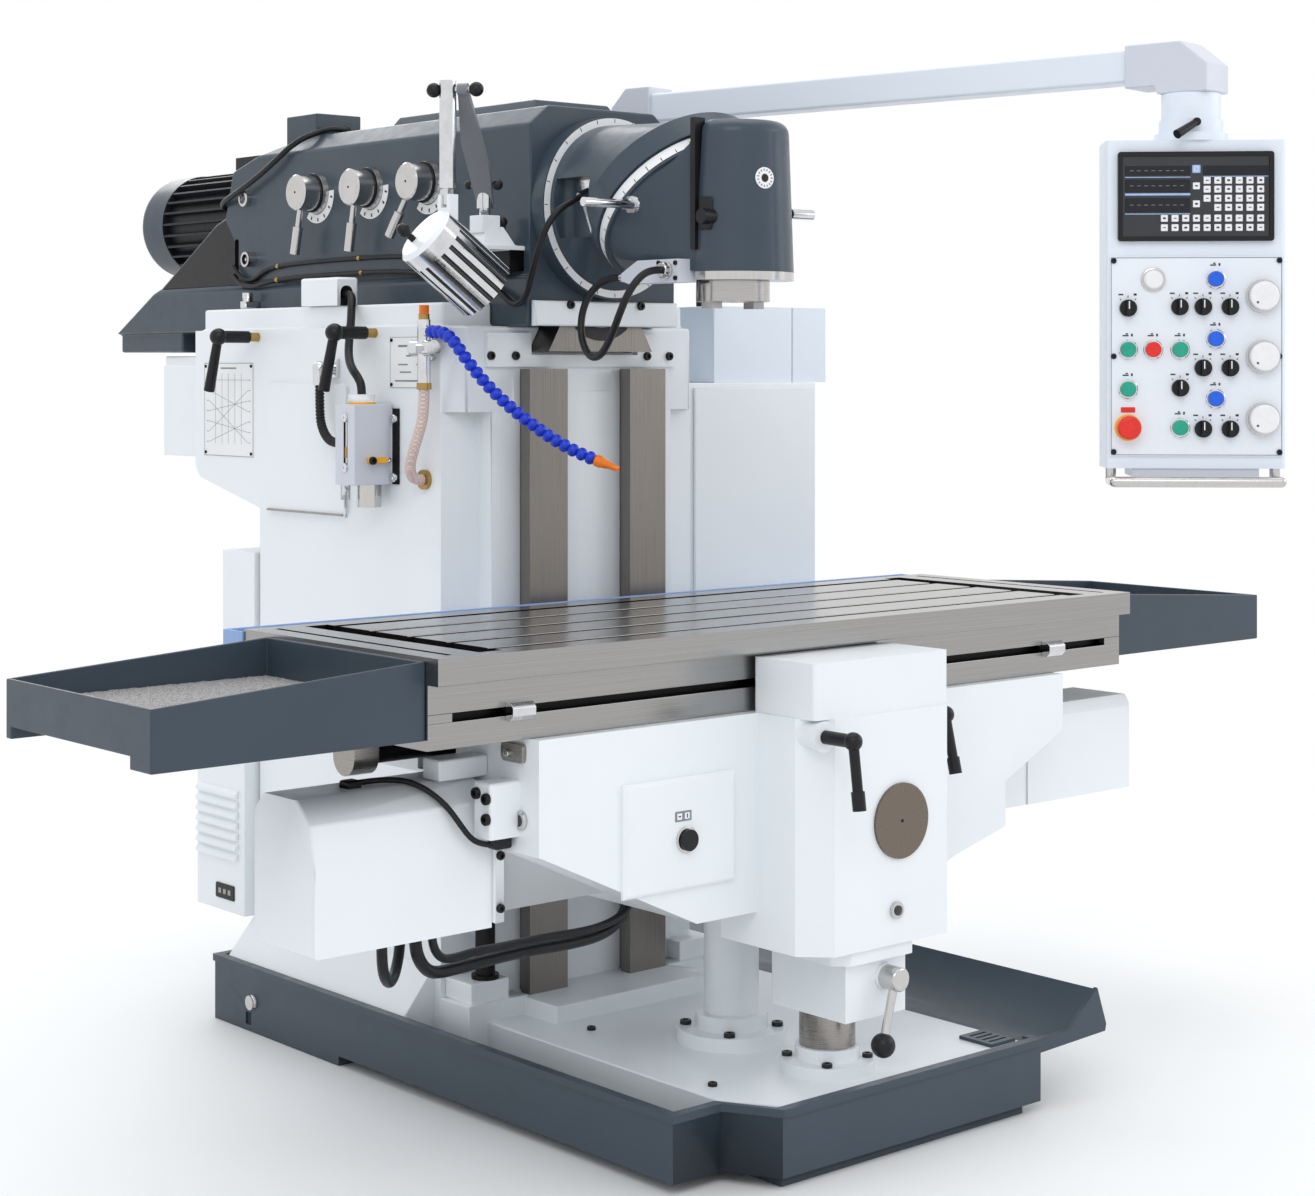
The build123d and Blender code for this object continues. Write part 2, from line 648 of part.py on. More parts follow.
def make_spindle_head():
    seat = Plane(origin=tilt_centre + head_normal * turn_gap, z_dir=head_normal, x_dir=(1, 0, 0))
    disc = seat * Cylinder(tilt_radius, 26, align=(Align.CENTER, Align.CENTER, Align.MIN))
    start = Plane(origin=tilt_centre + head_normal * 26, z_dir=head_normal, x_dir=(1, 0, 0))
    arc_ends = [45, 135, 225, 315]
    arcs = [CenterArc((0, 0), tilt_radius - 8, angle, 90) for angle in arc_ends]
    round_face = start * make_face(arcs)
    back = Plane(origin=(0, barrel_rear, 0), z_dir=(0, -1, 0), x_dir=(1, 0, 0))
    corners = [(barrel_half - 9, barrel_top - 22), (9 - barrel_half, barrel_top - 22),
               (-barrel_half, barrel_bottom), (barrel_half, barrel_bottom)]
    square_face = back * outline(corners)
    fairing = loft([round_face, square_face], ruled=True)
    wide = barrel_half + 4
    left, right = (-wide, spindle_y - 38), (wide, spindle_y - 38)
    shape = make_face([Line((-wide, barrel_rear), left), ThreePointArc(left, (0, spindle_y - 106), right),
                       Line(right, (wide, barrel_rear)), Line((wide, barrel_rear), (-wide, barrel_rear))])
    barrel = extrude(Pos(0, 0, barrel_bottom) * shape, barrel_top - barrel_bottom, taper=2)
    barrel = fillet(barrel.edges().group_by(Axis.Z)[-1].sort_by(Axis.Y)[:-1], 24)
    base = extrude(Pos(0, 0, barrel_bottom - 14) * shape, 14)
    housing = disc + fairing + barrel
    block = side([(-300, 1440), (-300, 1452), (-345, 1474), (-452, 1474), (-452, 1434),
                  (-320, 1434)], -124, -82)
    gland = rod((-124, -424, 1455), (-1, 0, 0), 12, 16) + rod((-112, -312, 1446), (0, 1, 0), 8, 24)
    strip = slab(-wide - 5, -wide + 18, barrel_rear - 5, barrel_rear + 7, barrel_bottom + 38,
                 barrel_top + 2)
    strip = (strip - housing).solids().sort_by(SortBy.VOLUME)[-1]
    handle = rod((-90, handle_y, 1570), (-1, 0, 0), 8, 170) + rod((-90, handle_y, 1570),
                                                                  (-1, 0, 0), 14, 56)
    knob = rod((-barrel_half + 6, -500, 1545), (-1, 0, 0), 13, 26)
    grip = rod((barrel_half - 8, -510, 1556), (1, 0, 0), 9, 52)
    bore = rod((0, spindle_y, barrel_bottom - 16), (0, 0, 1), 50 + bore_gap, 160)
    save("spindle_head", housing + handle + knob + grip - bore, base - bore,
         block + gland - housing - base, strip)
    return housing


def make_spindle():
    """Spindle with a flanged taper nose and two driving keys."""
    shaft = rod((0, spindle_y, barrel_bottom - 16), (0, 0, 1), 50, 150)
    flange = rod((0, spindle_y, spindle_nose),
                 (0, 0, 1), spindle_nose_radius, barrel_bottom - 14.6 - spindle_nose)
    taper_socket = taper((0, spindle_y, spindle_nose - 0.01), (0, 0, 1), 34.9, 20, 102)
    keys = slab(-62, -37, spindle_y - 12.7, spindle_y + 12.7, spindle_nose - 12, spindle_nose)
    body = flange + shaft + both_sides(keys) - taper_socket
    hole = rod((0, 0, spindle_nose - 1), (0, 0, 1), 8, 30)
    for turn in (45, 135, 225, 315):
        place = Pos(50.8 * cos(radians(turn)), spindle_y + 50.8 * sin(radians(turn)), 0)
        body -= place * hole
    save("spindle", body)


head_loop = [(-140.5, -424, 1455), (-164, -424, 1454), (-186, -420, 1440), (-200, -409, 1414),
             (-203, -392, 1382), (-198, -368, 1350), (-188, -336, 1322), (-174, -300, 1306),
             (-160, -262, 1305), (-149, -230, 1320), (-142, -210, 1350), (-137, -207, 1384),
             (-131, -218, 1416), (-121, -238, 1438), (-112, -262, 1446), (-112, -287.8, 1446)]
swivel_lead = [(-188, 43.8, 1440), (-188, 16, 1440), (-189, -12, 1424), (-191, -42, 1404),
               (-193, -80, 1398), (-196, -114, 1416), (-200, -142, 1452), (-204, -166, 1494),
               (-203, -182, 1528), (-194, -193, 1553), (-177, -199, 1572), (-157, -200.9, 1582),
               (-138.3, -202.8, 1591)]


def make_head_cables():
    save("head_cable", cord("head_cable", head_loop, 13))
    save("swivel_cable", cord("swivel_cable", swivel_lead, 12))


# Knee

def make_knee():
    top = knee_top - turn_gap
    wings = front([(-wing_half, top), (-wing_half, 549), (-291, knee_bottom), (250, knee_bottom),
                   (314, 430),
                   (451, 466), (451, 546), (wing_half, 623), (wing_half, top)], -687, -587)
    block = plan([(-knee_half, -600), (-knee_half, knee_front + 46), (-knee_half + 44, knee_front),
                  (knee_half - 12, knee_front), (knee_half, knee_front + 12), (knee_half, -600)], 345, top)
    body = slab(-290, 290, -588, way_front - slide_gap, knee_bottom, top)
    deck = slab(-wing_half, wing_half, -588, -200, 640, top)
    gearbox = slab(-wing_half, -280, -588, -430, 452, 660)
    gearbox += slab(280, wing_half - 100, -588, -430, 470, 660)
    lips = slab(way_outer + slide_gap, way_outer + 50, way_front - 1, way_front + 38, knee_bottom, 690)
    boss = taper((-140, knee_front + 122, 700), (0, -1, 0), 12, 25, 124)
    foot, head = 150, 170
    rail = side([(table_middle - foot, top), (table_middle + foot, top),
                 (table_middle + head, knee_top + 26),
                 (table_middle - head, knee_top + 26)], -wing_half, wing_half)
    knee = wings + block + body + deck + gearbox + both_sides(lips) + rail + boss
    channel = slab(-wing_half - 1, wing_half + 1, table_middle - 52, table_middle + 52, 645, knee_top + 30)
    nut = slab(-45, 45, table_middle - 52, table_middle + 52, 645, top)
    nut -= rod((-60, table_middle, screw_height), (1, 0, 0), screw_radius + bore_gap, 120)
    knee = knee - channel + nut
    knee -= rod((0, post_column_y, 300), (0, 0, 1), post_radius + 2, 390)
    knee -= rod((0, lift_y, 300), (0, 0, 1), lift_radius + 2, 330)
    screw = rod((0, lift_y, 182), (0, 0, 1), lift_radius - 22, 630 - 182)
    save("knee", knee, screw)


def make_knee_covers():
    """Front cover box, switch plate, round cover and the two feed housings."""
    lid = slab(-knee_half + 4, knee_half - 4, knee_front + 4, table_body_front - 8,
               knee_top - turn_gap, 816)
    lid = fillet(lid.edges().filter_by(Axis.Z), 8)
    plate = slab(-449, -215, -698, -687, 462, 640)
    plate = chamfer(plate.edges().group_by(Axis.Y)[0], 6)
    plate -= rod((-323, -700, 542), (0, 1, 0), 13 + bore_gap, 20)
    disc = rod((35, knee_front, 546), (0, -1, 0), 62, 5)
    sight = rod((24, knee_front, 401), (0, -1, 0), 14, 6)
    housing = side([(-590, 430), (-425, 430), (-425, 628), (-452, 655), (-540, 655), (-578, 622),
                    (-590, 560)],
                   -945, -wing_half - 16)
    housing += slab(-836, -812, -512, -488, 655, 667)
    flange = slab(-wing_half - 16, -wing_half, -600, -425, 438, 650)
    block = slab(-666, -wing_half, -640, -600, 575, 660) + slab(-648, -616, -630, -606, 556, 575)
    guard = slab(-703, -wing_half, -560, -515, 657, 690)
    right = side([(-590, 470), (-425, 470), (-425, 628), (-452, 650), (-578, 650), (-590, 628)],
                 wing_half + 16, 930)
    right_flange = slab(wing_half - 100, wing_half + 16, -586.9, -431.1, 470, 639.9)
    save("knee_covers", lid, plate, disc, sight, housing + flange + block, guard, right + right_flange)


def make_support_clamp():
    y = post_column_y
    body = slab(-95, 95, knee_front + 7, y + 68, 322, 345)
    body += slab(-70, 70, knee_front + 22, y + 62, 226, 322)
    body = chamfer(body.edges().filter_by(Axis.Z).group_by(Axis.Y)[0], 24)
    body -= rod((0, y, 220), (0, 0, 1), post_radius + bore_gap, 140)
    boss = rod((20, knee_front + 22, 290), (0, -1, 0), 22, 6)
    save("support_clamp", body + boss)


def make_support_lever():
    y = knee_front + 16 - turn_gap
    hub = rod((20, y, 290), (0, -1, 0), 20, 34)
    hub = fillet(hub.edges().group_by(Axis.Y)[0], 5)
    arm = rod((20, y - 18, 290), (-0.34, -0.06, -1), 7, 96)
    knob = ball((-14, y - 24, 188), 20)
    save("support_lever", hub + arm + knob)


def make_knee_lever(name, start, out, reach, down, length):
    """Black clamping handle that sticks out of the casting and hangs, with a thicker grip at its end."""
    outward, along = Vector(*out), Vector(*down).normalized()
    begin = Vector(*start) + outward * turn_gap
    corner = begin + outward * reach
    hub = rod(begin, outward, 11, reach) + ball(corner, 15)
    grip = rod(corner, along, 8.5, 0.8 * length)
    grip += rod(corner + along * 0.72 * length, along, 11, 0.28 * length)
    save(name, hub + grip)


def make_knee_button():
    stem = rod((-323, -691, 542), (0, -1, 0), 13, 12)
    save("knee_button", stem + rod((-323, -702, 542), (0, -1, 0), 17, 6))


hose_loop = [(-798, -545, 429.8), (-798, -545, 402), (-789, -536.5, 375), (-770, -518.5, 356),
             (-748, -497.5, 349), (-726, -476.5, 356), (-707, -458.5, 375), (-698, -450, 402),
             (-698, -450, 429.8)]
hose_low = [(-706, -500, 429.8), (-706, -500, 399.5), (-694.6, -495.7, 372), (-673.7, -487.9, 352),
            (-647, -477.9, 342.7), (-590, -456.5, 338), (-508, -427, 332), (-440, -402, 326),
            (-372, -377, 318), (-306, -352, 309), (-244, -329, 302), (-188, -308, 298),
            (-140, -291, 301), (-104, -278, 314), (-80, -269, 338), (-70, -265, 370),
            (-70, -265, 401.8)]
hose_high = [(-676, -502, 429.8), (-676, -502, 410), (-669, -498.5, 388), (-652, -491, 370),
             (-626, -481, 361), (-552, -454, 358), (-484, -431, 350), (-416, -406, 344),
             (-348, -381, 336), (-282, -356, 327), (-220, -333, 320), (-164, -312, 318),
             (-118, -296, 324), (-86, -286, 342), (-70, -282, 372), (-70, -282, 401.8)]
feed_lead = [(-810.8, -500, 661), (-786, -504, 662), (-764, -520, 663), (-745, -544, 661),
             (-726, -567, 647), (-708, -587, 625), (-695, -600, 600), (-682, -608.5, 578),
             (-667, -614, 567), (-650.6, -617.4, 564)]


def make_knee_hoses():
    loop = cord("hose_loop", hose_loop, 17)
    low = cord("hose_low", hose_low, 20)
    high = cord("hose_high", hose_high, 14)
    lead = cord("feed_lead", feed_lead, 9)
    save("knee_hoses", loop, low, high, lead)


# Table

def make_table():
    lip_bottom = table_top - table_lip
    section = [(table_front, lip_bottom), (table_front, table_top), (table_back, table_top),
               (table_back, lip_bottom), (table_back - 26, lip_bottom), (table_back - 26, knee_top),
               (table_body_front, knee_top), (table_body_front, lip_bottom)]
    face = outline(section)
    for index in range(slot_count):
        middle = table_middle + (index - (slot_count - 1) / 2) * slot_pitch
        face -= Pos(middle, table_top - 15) * Rectangle(slot_width, 30)
        face -= Pos(middle, table_top - 25) * Rectangle(30, 14)
    face -= Pos(table_body_front + 10, 772) * Rectangle(20, 13)
    face -= Pos(table_body_front + 16, 772) * Rectangle(9, 24)
    foot, head = 150, 170
    gap = slide_gap * 1.5
    face -= outline([(table_middle - foot - gap, knee_top - 1), (table_middle + foot + gap, knee_top - 1),
                     (table_middle + head + gap, knee_top + 26 + gap),
                     (table_middle - head - gap, knee_top + 26 + gap)])
    table = extrude(Plane.YZ.offset(-table_half) * face, table_length)
    span = (slot_count - 1) * slot_pitch / 2 + 28
    channel = slab(-table_half + 96, -table_half + 140, table_middle - span, table_middle + span,
                   table_top - 34, table_top + 1)
    slit = slab(-table_half + 38, -table_half + 48, table_middle - span, table_middle + span,
                table_top - 20, table_top + 1)
    end = slab(-table_half, -table_half + 96, table_middle - span, table_middle + span, table_top - 33,
               table_top)
    table = table + both_sides(end) - both_sides(channel) - both_sides(slit)
    save("table", table)


def make_chip_trays():
    inner, outer = table_half, table_half + tray_length
    y0, y1 = table_body_front + 6, table_body_front + 436
    wall, bottom = 6, 741
    profile = [(inner, bottom), (outer, bottom), (outer, 829), (inner, 858)]
    tray = front(profile, y0, y1)
    tray -= front([(inner + wall, bottom + 34), (outer - wall, bottom + 34), (outer - wall, 870),
                   (inner + wall, 870)], y0 + wall, y1 - wall)
    tray -= slab(inner - 1, outer + 1, table_middle - 178, table_middle + 178, bottom - 1, bottom + 18)
    save("chip_trays", tray, mirror(tray, Plane.YZ))


def make_rear_gutter():
    y0, y1 = table_back, table_back + gutter_depth
    trough = side([(y0, 800), (y1, 800), (y1, table_top - 4), (y1 - 6, table_top - 4), (y1 - 6, 836),
                   (y0 + 4, 836), (y0 + 4, table_top - 4), (y0, table_top - 4)], -table_half, table_half)
    ends = slab(-table_half - 4, -table_half, y0, y1, 800, table_top - 4)
    save("rear_gutter", trough + both_sides(ends))


trip_dogs = (-636, 597)


def make_table_fittings():
    """Feed screw with its end bearings under the table, and the trip dogs on its front."""
    reach = table_half - 22
    screw = rod((-reach, table_middle, screw_height), (1, 0, 0), screw_radius, 2 * reach)
    bearing = rod((-reach - 8, table_middle, screw_height), (1, 0, 0), 30, 46)
    bearing += slab(-reach - 8, -reach + 38, table_middle - 30, table_middle + 30, screw_height,
                    knee_top + 26 + 1.5 * slide_gap)
    dogs = []
    for x in trip_dogs:
        dog = slab(x - 22, x + 22, table_body_front - 20, table_body_front, 758, 786)
        dog = chamfer(dog.edges().filter_by(Axis.X).group_by(Axis.Y)[0], 8)
        dogs.append(dog + slab(x - 16, x + 16, table_body_front, table_body_front + 9, 766, 778))
    save("table_fittings", screw + both_sides(bearing), *dogs)


# Pendant

def make_arm_post():
    foot = slab(post_x - 38, post_x + 38, post_y - 60, post_y + 60, 1257, 1269)
    tube = rod((post_x, post_y, 1269), (0, 0, 1), 27, 480)
    collar = rod((post_x, post_y, 1740), (0, 0, 1), 36, 30)
    pin = rod((post_x, post_y, 1770), (0, 0, 1), 18, 60)
    conduit = rod((533, 223, 1257), (0, 0, 1), 9, 440) + ball((533, 223, 1697), 9)
    conduit += rod((533, 223, 1697), (post_x - 533, post_y - 223, 0), 9, 180)
    save("arm_post", foot + tube + collar + pin + conduit)


arm_place = Location((post_x, post_y, 0), (0, 0, arm_angle))
pendant_place = arm_place * Location((arm_length, 0, 0), (0, 0, pendant_yaw - arm_angle))


def make_pendant_arm():
    low, high = arm_height - arm_section / 2, arm_height + arm_section / 2
    half = arm_section / 2
    elbow = front([(-58, 1770 + turn_gap), (-58, high - 24), (-20, high + 14), (42, high + 14),
                   (42, 1770 + turn_gap)],
                  -half - 9, half + 9)
    elbow -= rod((0, 0, 1760), (0, 0, 1), 18 + bore_gap, 71)
    beam = slab(42, arm_length - 106, -half, half, low, high)
    beam = fillet(beam.edges().filter_by(Axis.X), 6)
    tail = front([(arm_length - 106, low - 12), (arm_length - 50, low - 12), (arm_length - 44, low - 26),
                  (arm_length + 50, low - 26), (arm_length + 50, high - 36), (arm_length, high + 5),
                  (arm_length - 106, high + 5)], -half - 12, half + 12)
    spigot = rod((arm_length, 0, low - 26), (0, 0, -1), 22, 40)
    save("pendant_arm", arm_place * (elbow + beam + tail + spigot))


panel_bottom, panel_top = 1138, 1475
panel_raise = 5
face_y = -pendant_depth / 2


def make_pendant_box():
    half = pendant_width / 2
    case = slab(-half, half, face_y, pendant_depth / 2, pendant_bottom, pendant_top)
    case = fillet(case.edges().filter_by(Axis.Z), 8)
    neck_top = arm_height - arm_section / 2 - 26 - turn_gap
    neck = rod((0, 0, pendant_top), (0, 0, 1), 62, 14) + rod((0, 0, pendant_top + 14), (0, 0, 1), 54, 24)
    neck += rod((0, 0, pendant_top + 38), (0, 0, 1), 50, neck_top - pendant_top - 38)
    socket = rod((0, 0, neck_top - 60), (0, 0, 1), 22 + bore_gap, 61)
    panel = slab(-half + 6, half - 6, face_y - panel_raise, face_y, panel_bottom, panel_top)
    for x, z, radius in control_stems():
        panel -= rod((x, face_y - panel_raise - 1, z), (0, 1, 0), radius + bore_gap, panel_raise + 1)
        case -= rod((x, face_y, z), (0, 1, 0), radius + bore_gap, 18)
    bezel = slab(-131, 129, face_y - 10, face_y, 1501, 1652)
    bezel = fillet(bezel.edges().filter_by(Axis.Y), 5)
    bezel -= slab(-123, 121, face_y - 11, face_y - 6, 1509, 1644)
    lamp = rod((-72, face_y - panel_raise, 1436), (0, -1, 0), 16, 12)
    lamp = fillet(lamp.edges().group_by(Axis.Y)[0], 4)
    selectors = []
    for x, z in selector_places:
        knob = rod((x, face_y - panel_raise, z), (0, -1, 0), 14.5, 8)
        knob += slab(x - 4, x + 4, face_y - panel_raise - 20, face_y - panel_raise - 8, z - 13, z + 13)
        selectors.append(knob)
    bar_y = face_y - 22
    bar = rod((-half + 12, bar_y, pendant_bottom - 22), (1, 0, 0), 9, pendant_width - 24)
    for x in (-half + 12, half - 12):
        bar += rod((x, bar_y, pendant_bottom - 22), (0, 1, 0), 9, 60)
        bar += ball((x, bar_y, pendant_bottom - 22), 9)
        bar += ball((x, bar_y + 60, pendant_bottom - 22), 9)
        bar += rod((x, bar_y + 60, pendant_bottom - 22), (0, 0, 1), 9, 22)
    tray = slab(-half + 44, half - 44, face_y + 4, pendant_depth / 2, pendant_bottom - 14, pendant_bottom)
    shapes = [case + neck - socket + tray, panel, bezel, lamp, bar] + selectors
    save("pendant_box", *[pendant_place * shape for shape in shapes])


button_places = [("button_blue_1", 32, 1437), ("button_blue_2", 32, 1336), ("button_blue_3", 32, 1235),
                 ("button_green_1", -114, 1318), ("button_green_2", -27, 1318),
                 ("button_green_3", -114, 1251),
                 ("button_green_4", -27, 1186), ("button_red", -72, 1318)]
selector_places = [(-114, 1388), (-28, 1390), (11, 1390), (56, 1390), (11, 1287), (56, 1287), (-27, 1253),
                   (11, 1184), (56, 1184)]
dial_places = [("override_dial_1", 110, 1408), ("override_dial_2", 110, 1306),
               ("override_dial_3", 110, 1201)]
e_stop_place = ("e_stop", -114, 1186)
button_stem, dial_stem = 9, 6


def control_stems():
    """Holes in the panel for the moving controls."""
    stems = [(x, z, button_stem) for _, x, z in button_places]
    stems += [(x, z, dial_stem) for _, x, z in dial_places]
    return stems + [(e_stop_place[1], e_stop_place[2], button_stem)]


def make_controls():
    skin = face_y - panel_raise
    for name, x, z in button_places:
        cap = rod((x, skin - 4, z), (0, -1, 0), 13, 8)
        cap = fillet(cap.edges().group_by(Axis.Y)[0], 2)
        save(name, pendant_place * (cap + rod((x, skin - 4, z), (0, 1, 0), button_stem, 16)))
    for name, x, z in dial_places:
        cap = rod((x, skin - turn_gap, z), (0, -1, 0), 28, 10) + rod((x, skin - 10, z), (0, -1, 0), 24, 16)
        cap = fillet(cap.edges().group_by(Axis.Y)[0], 3)
        save(name, pendant_place * (cap + rod((x, skin - turn_gap, z), (0, 1, 0), dial_stem, 16)))
    name, x, z = e_stop_place
    cap = rod((x, skin - 6, z), (0, -1, 0), 12, 12) + rod((x, skin - 14, z), (0, -1, 0), 20, 14)
    cap = fillet(cap.edges().group_by(Axis.Y)[0], 6)
    save(name, pendant_place * (cap + rod((x, skin - 6, z), (0, 1, 0), button_stem, 18)))


def make_pendant_lever():
    hub = rod((0, -54 - turn_gap, pendant_top + 30), (0, -1, 0), 7, 14)
    grip = taper((0, -62, pendant_top + 30), (-0.7, -0.55, -0.45), 6, 8, 52)
    save("pendant_lever", pendant_place * (hub + grip))


make_base_pan()
make_base_plate()
make_column()
make_column_ways()
make_rear_cabinet()
make_electrical_cabinet()
make_lift_column()
make_support_column()
make_lubricator()
make_column_conduits()
for lever in ram_levers:
    make_ram_lever(*lever)
make_coolant_valve()
make_coolant_hose()
make_nozzle_hose()
make_ram_covers(make_ram())
make_ram_way()
make_drive_motor()
make_ram_cables()
for lever in speed_levers:
    make_speed_lever(*lever)
make_lamp_bracket()
make_lamp_arm()
make_lamp_link()
make_lamp_head()
make_swivel_body()
make_spindle_head()
make_spindle()
make_head_cables()
make_knee()
make_knee_covers()
make_support_clamp()
make_support_lever()
make_knee_lever("knee_lever_left", (-140, knee_front - 2, 700), (0, -1, 0), 62, (0, -0.13, -1), 108)
make_knee_lever("knee_lever_right", (knee_half, knee_front + 42, 700), (1, 0, 0), 30, (0, -0.24, -1), 100)
make_knee_button()
make_knee_hoses()
make_table()
make_chip_trays()
make_rear_gutter()
make_table_fittings()
make_arm_post()
make_pendant_arm()
make_pendant_box()
make_controls()
make_pendant_lever()
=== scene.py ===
"""Looks of the ram milling machine: finishes, scales, fastenings, cords and small fittings.

Lengths are in millimetres, in the machine's own frame: +Z is up, the floor is z = 0, the operator stands
on the -Y side and the table's length runs along X. Textures, lamps and the camera are in metres.
"""

import json
import math

import bmesh
import bpy
import numpy
from mathutils import Matrix, Vector, noise


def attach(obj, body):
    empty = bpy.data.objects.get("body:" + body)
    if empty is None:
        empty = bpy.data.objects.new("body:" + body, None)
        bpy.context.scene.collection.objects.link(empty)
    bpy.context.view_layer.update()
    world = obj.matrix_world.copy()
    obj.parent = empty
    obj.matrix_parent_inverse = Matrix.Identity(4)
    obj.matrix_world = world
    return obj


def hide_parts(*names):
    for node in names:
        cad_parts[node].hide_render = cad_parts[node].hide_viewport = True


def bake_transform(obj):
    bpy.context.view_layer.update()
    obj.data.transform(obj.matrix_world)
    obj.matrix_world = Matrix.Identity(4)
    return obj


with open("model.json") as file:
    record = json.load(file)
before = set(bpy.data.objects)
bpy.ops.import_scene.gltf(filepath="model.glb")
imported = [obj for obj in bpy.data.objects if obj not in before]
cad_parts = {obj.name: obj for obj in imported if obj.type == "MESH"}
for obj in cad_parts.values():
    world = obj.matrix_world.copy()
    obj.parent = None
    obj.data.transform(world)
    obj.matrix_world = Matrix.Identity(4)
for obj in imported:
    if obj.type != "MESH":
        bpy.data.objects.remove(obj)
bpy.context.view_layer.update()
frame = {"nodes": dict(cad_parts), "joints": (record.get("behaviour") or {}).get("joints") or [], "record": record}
nodes = frame["nodes"]
joints = {joint["name"]: joint for joint in frame["joints"]}
body_of = {node: body for body, group in frame["record"]["behaviour"]["bodies"].items() for node in group}
scene = bpy.context.scene
MM = 0.001
PRINT_DEPTH = 0.3
UP =Vector((0, 0, 1))
DOWN = Vector((0, 0, -1))
LEFT = Vector((-1, 0, 0))
RIGHT = Vector((1, 0, 0))
FRONT = Vector((0, -1, 0))
BACK = Vector((0, 1, 0))


# Finishes

class Nodes:
    """A node tree, with short ways to add to it."""

    def __init__(self, tree):
        self.tree = tree

    def node(self, kind, **inputs):
        made = self.tree.nodes.new(kind)
        for socket, value in inputs.items():
            self.set(made.inputs[socket.replace("_", " ")], value)
        return made

    def set(self, socket, value):
        if isinstance(value, bpy.types.NodeSocket):
            self.tree.links.new(value, socket)
        else:
            socket.default_value = value

    def math(self, operation, first, second):
        made = self.node("ShaderNodeMath")
        made.operation = operation
        self.set(made.inputs[0], first)
        self.set(made.inputs[1], second)
        return made.outputs["Value"]

    def mix(self, share, first, second, output):
        """Two shaders, mixed by a share, on the tree's output."""
        made = self.node("ShaderNodeMixShader", Fac=share)
        self.set(made.inputs[1], first)
        self.set(made.inputs[2], second)
        self.set(self.tree.nodes[output].inputs["Surface"], made.outputs["Shader"])


class Finish(Nodes):
    """A material under construction: its shader, and the textures that vary it."""

    def __init__(self, name, slot, color, rough, metal=0.0, **sockets):
        self.material = bpy.data.materials.new(name)
        self.material.use_nodes = True
        self.material["slot"] = slot
        super().__init__(self.material.node_tree)
        self.shader = self.tree.nodes["Principled BSDF"]
        self.color = color
        self.rough = rough
        sockets.update(Base_Color=(*color, 1), Roughness=rough, Metallic=metal)
        for socket, value in sockets.items():
            self.feed(socket, value)

    def feed(self, socket, value):
        self.set(self.shader.inputs[socket.replace("_", " ")], value)

    def place(self, stretch=(1, 1, 1)):
        """Texture coordinates fixed to the piece, stretched along its axes."""
        coordinates = self.node("ShaderNodeTexCoord").outputs["Object"]
        return self.node("ShaderNodeMapping", Vector=coordinates, Scale=stretch).outputs["Vector"]

    def noise(self, vector, scale, detail=3.0):
        return self.node("ShaderNodeTexNoise", Vector=vector, Scale=scale, Detail=detail).outputs["Fac"]

    def spread(self, value, low, high, start=0.3, end=0.7):
        """A value carried from one range to another."""
        ranges = {"From_Min": start, "From_Max": end, "To_Min": low, "To_Max": high}
        return self.node("ShaderNodeMapRange", Value=value, **ranges).outputs["Result"]

    def tint(self, value, low, high, start=0.3, end=0.7):
        """Two colours mixed by a value."""
        ramp = self.node("ShaderNodeValToRGB", Fac=value)
        for stop, position, color in zip(ramp.color_ramp.elements, (start, end), (low, high)):
            stop.position = position
            stop.color = (*color, 1)
        self.feed("Base_Color", ramp.outputs["Color"])

    def vary(self, value, share):
        """The finish's own colour, a little darker and lighter."""
        darker = [channel * (1 - share) for channel in self.color]
        lighter = [min(1, channel * (1 + share)) for channel in self.color]
        self.tint(value, darker, lighter)

    def dull(self, value, spread):
        self.feed("Roughness", self.spread(value, self.rough - spread, self.rough + spread))

    def bump(self, value, strength, depth):
        made = self.node("ShaderNodeBump", Height=value, Strength=strength, Distance=depth)
        self.feed("Normal", made.outputs["Normal"])


def paint(name, slot, color, rough, share=0.05, gloss=0.4):
    """Sprayed machine enamel: faint blotches, and the orange peel of a thick coat."""
    made = Finish(name, slot, color, rough, Specular_IOR_Level=gloss, Coat_Weight=0.12, Coat_Roughness=0.1)
    place = made.place()
    made.vary(made.noise(place, 5), share)
    made.dull(made.noise(place, 30), 0.06)
    made.bump(made.noise(place, 420, 1), 0.14, 0.0005)
    return made.material


def ground_metal(name, slot, color, rough, grain, share=0.22, relief=0.1):
    """Metal ground or brushed in one direction, with the grain's fine lines."""
    made = Finish(name, slot, color, rough, 1.0)
    lines = made.noise(made.place(grain), 1, 5)
    made.vary(lines, share)
    made.dull(lines, 0.5 * share)
    made.bump(lines, relief, 0.0002)
    return made.material


def polished(name, color, rough):
    """Plated or turned metal with faint handling marks."""
    made = Finish(name, "chrome", color, rough, 1.0)
    place = made.place()
    made.vary(made.noise(place, 45), 0.07)
    made.dull(made.noise(place, 160), 0.05)
    return made.material


def moulded(name, slot, color, rough, share=0.08, gloss=0.4):
    """Moulded plastic or rubber with a fine grain."""
    made = Finish(name, slot, color, rough, Specular_IOR_Level=gloss)
    place = made.place()
    made.vary(made.noise(place, 60), share)
    made.dull(made.noise(place, 220), 0.06)
    made.bump(made.noise(place, 1500, 1), 0.08, 0.0003)
    return made.material


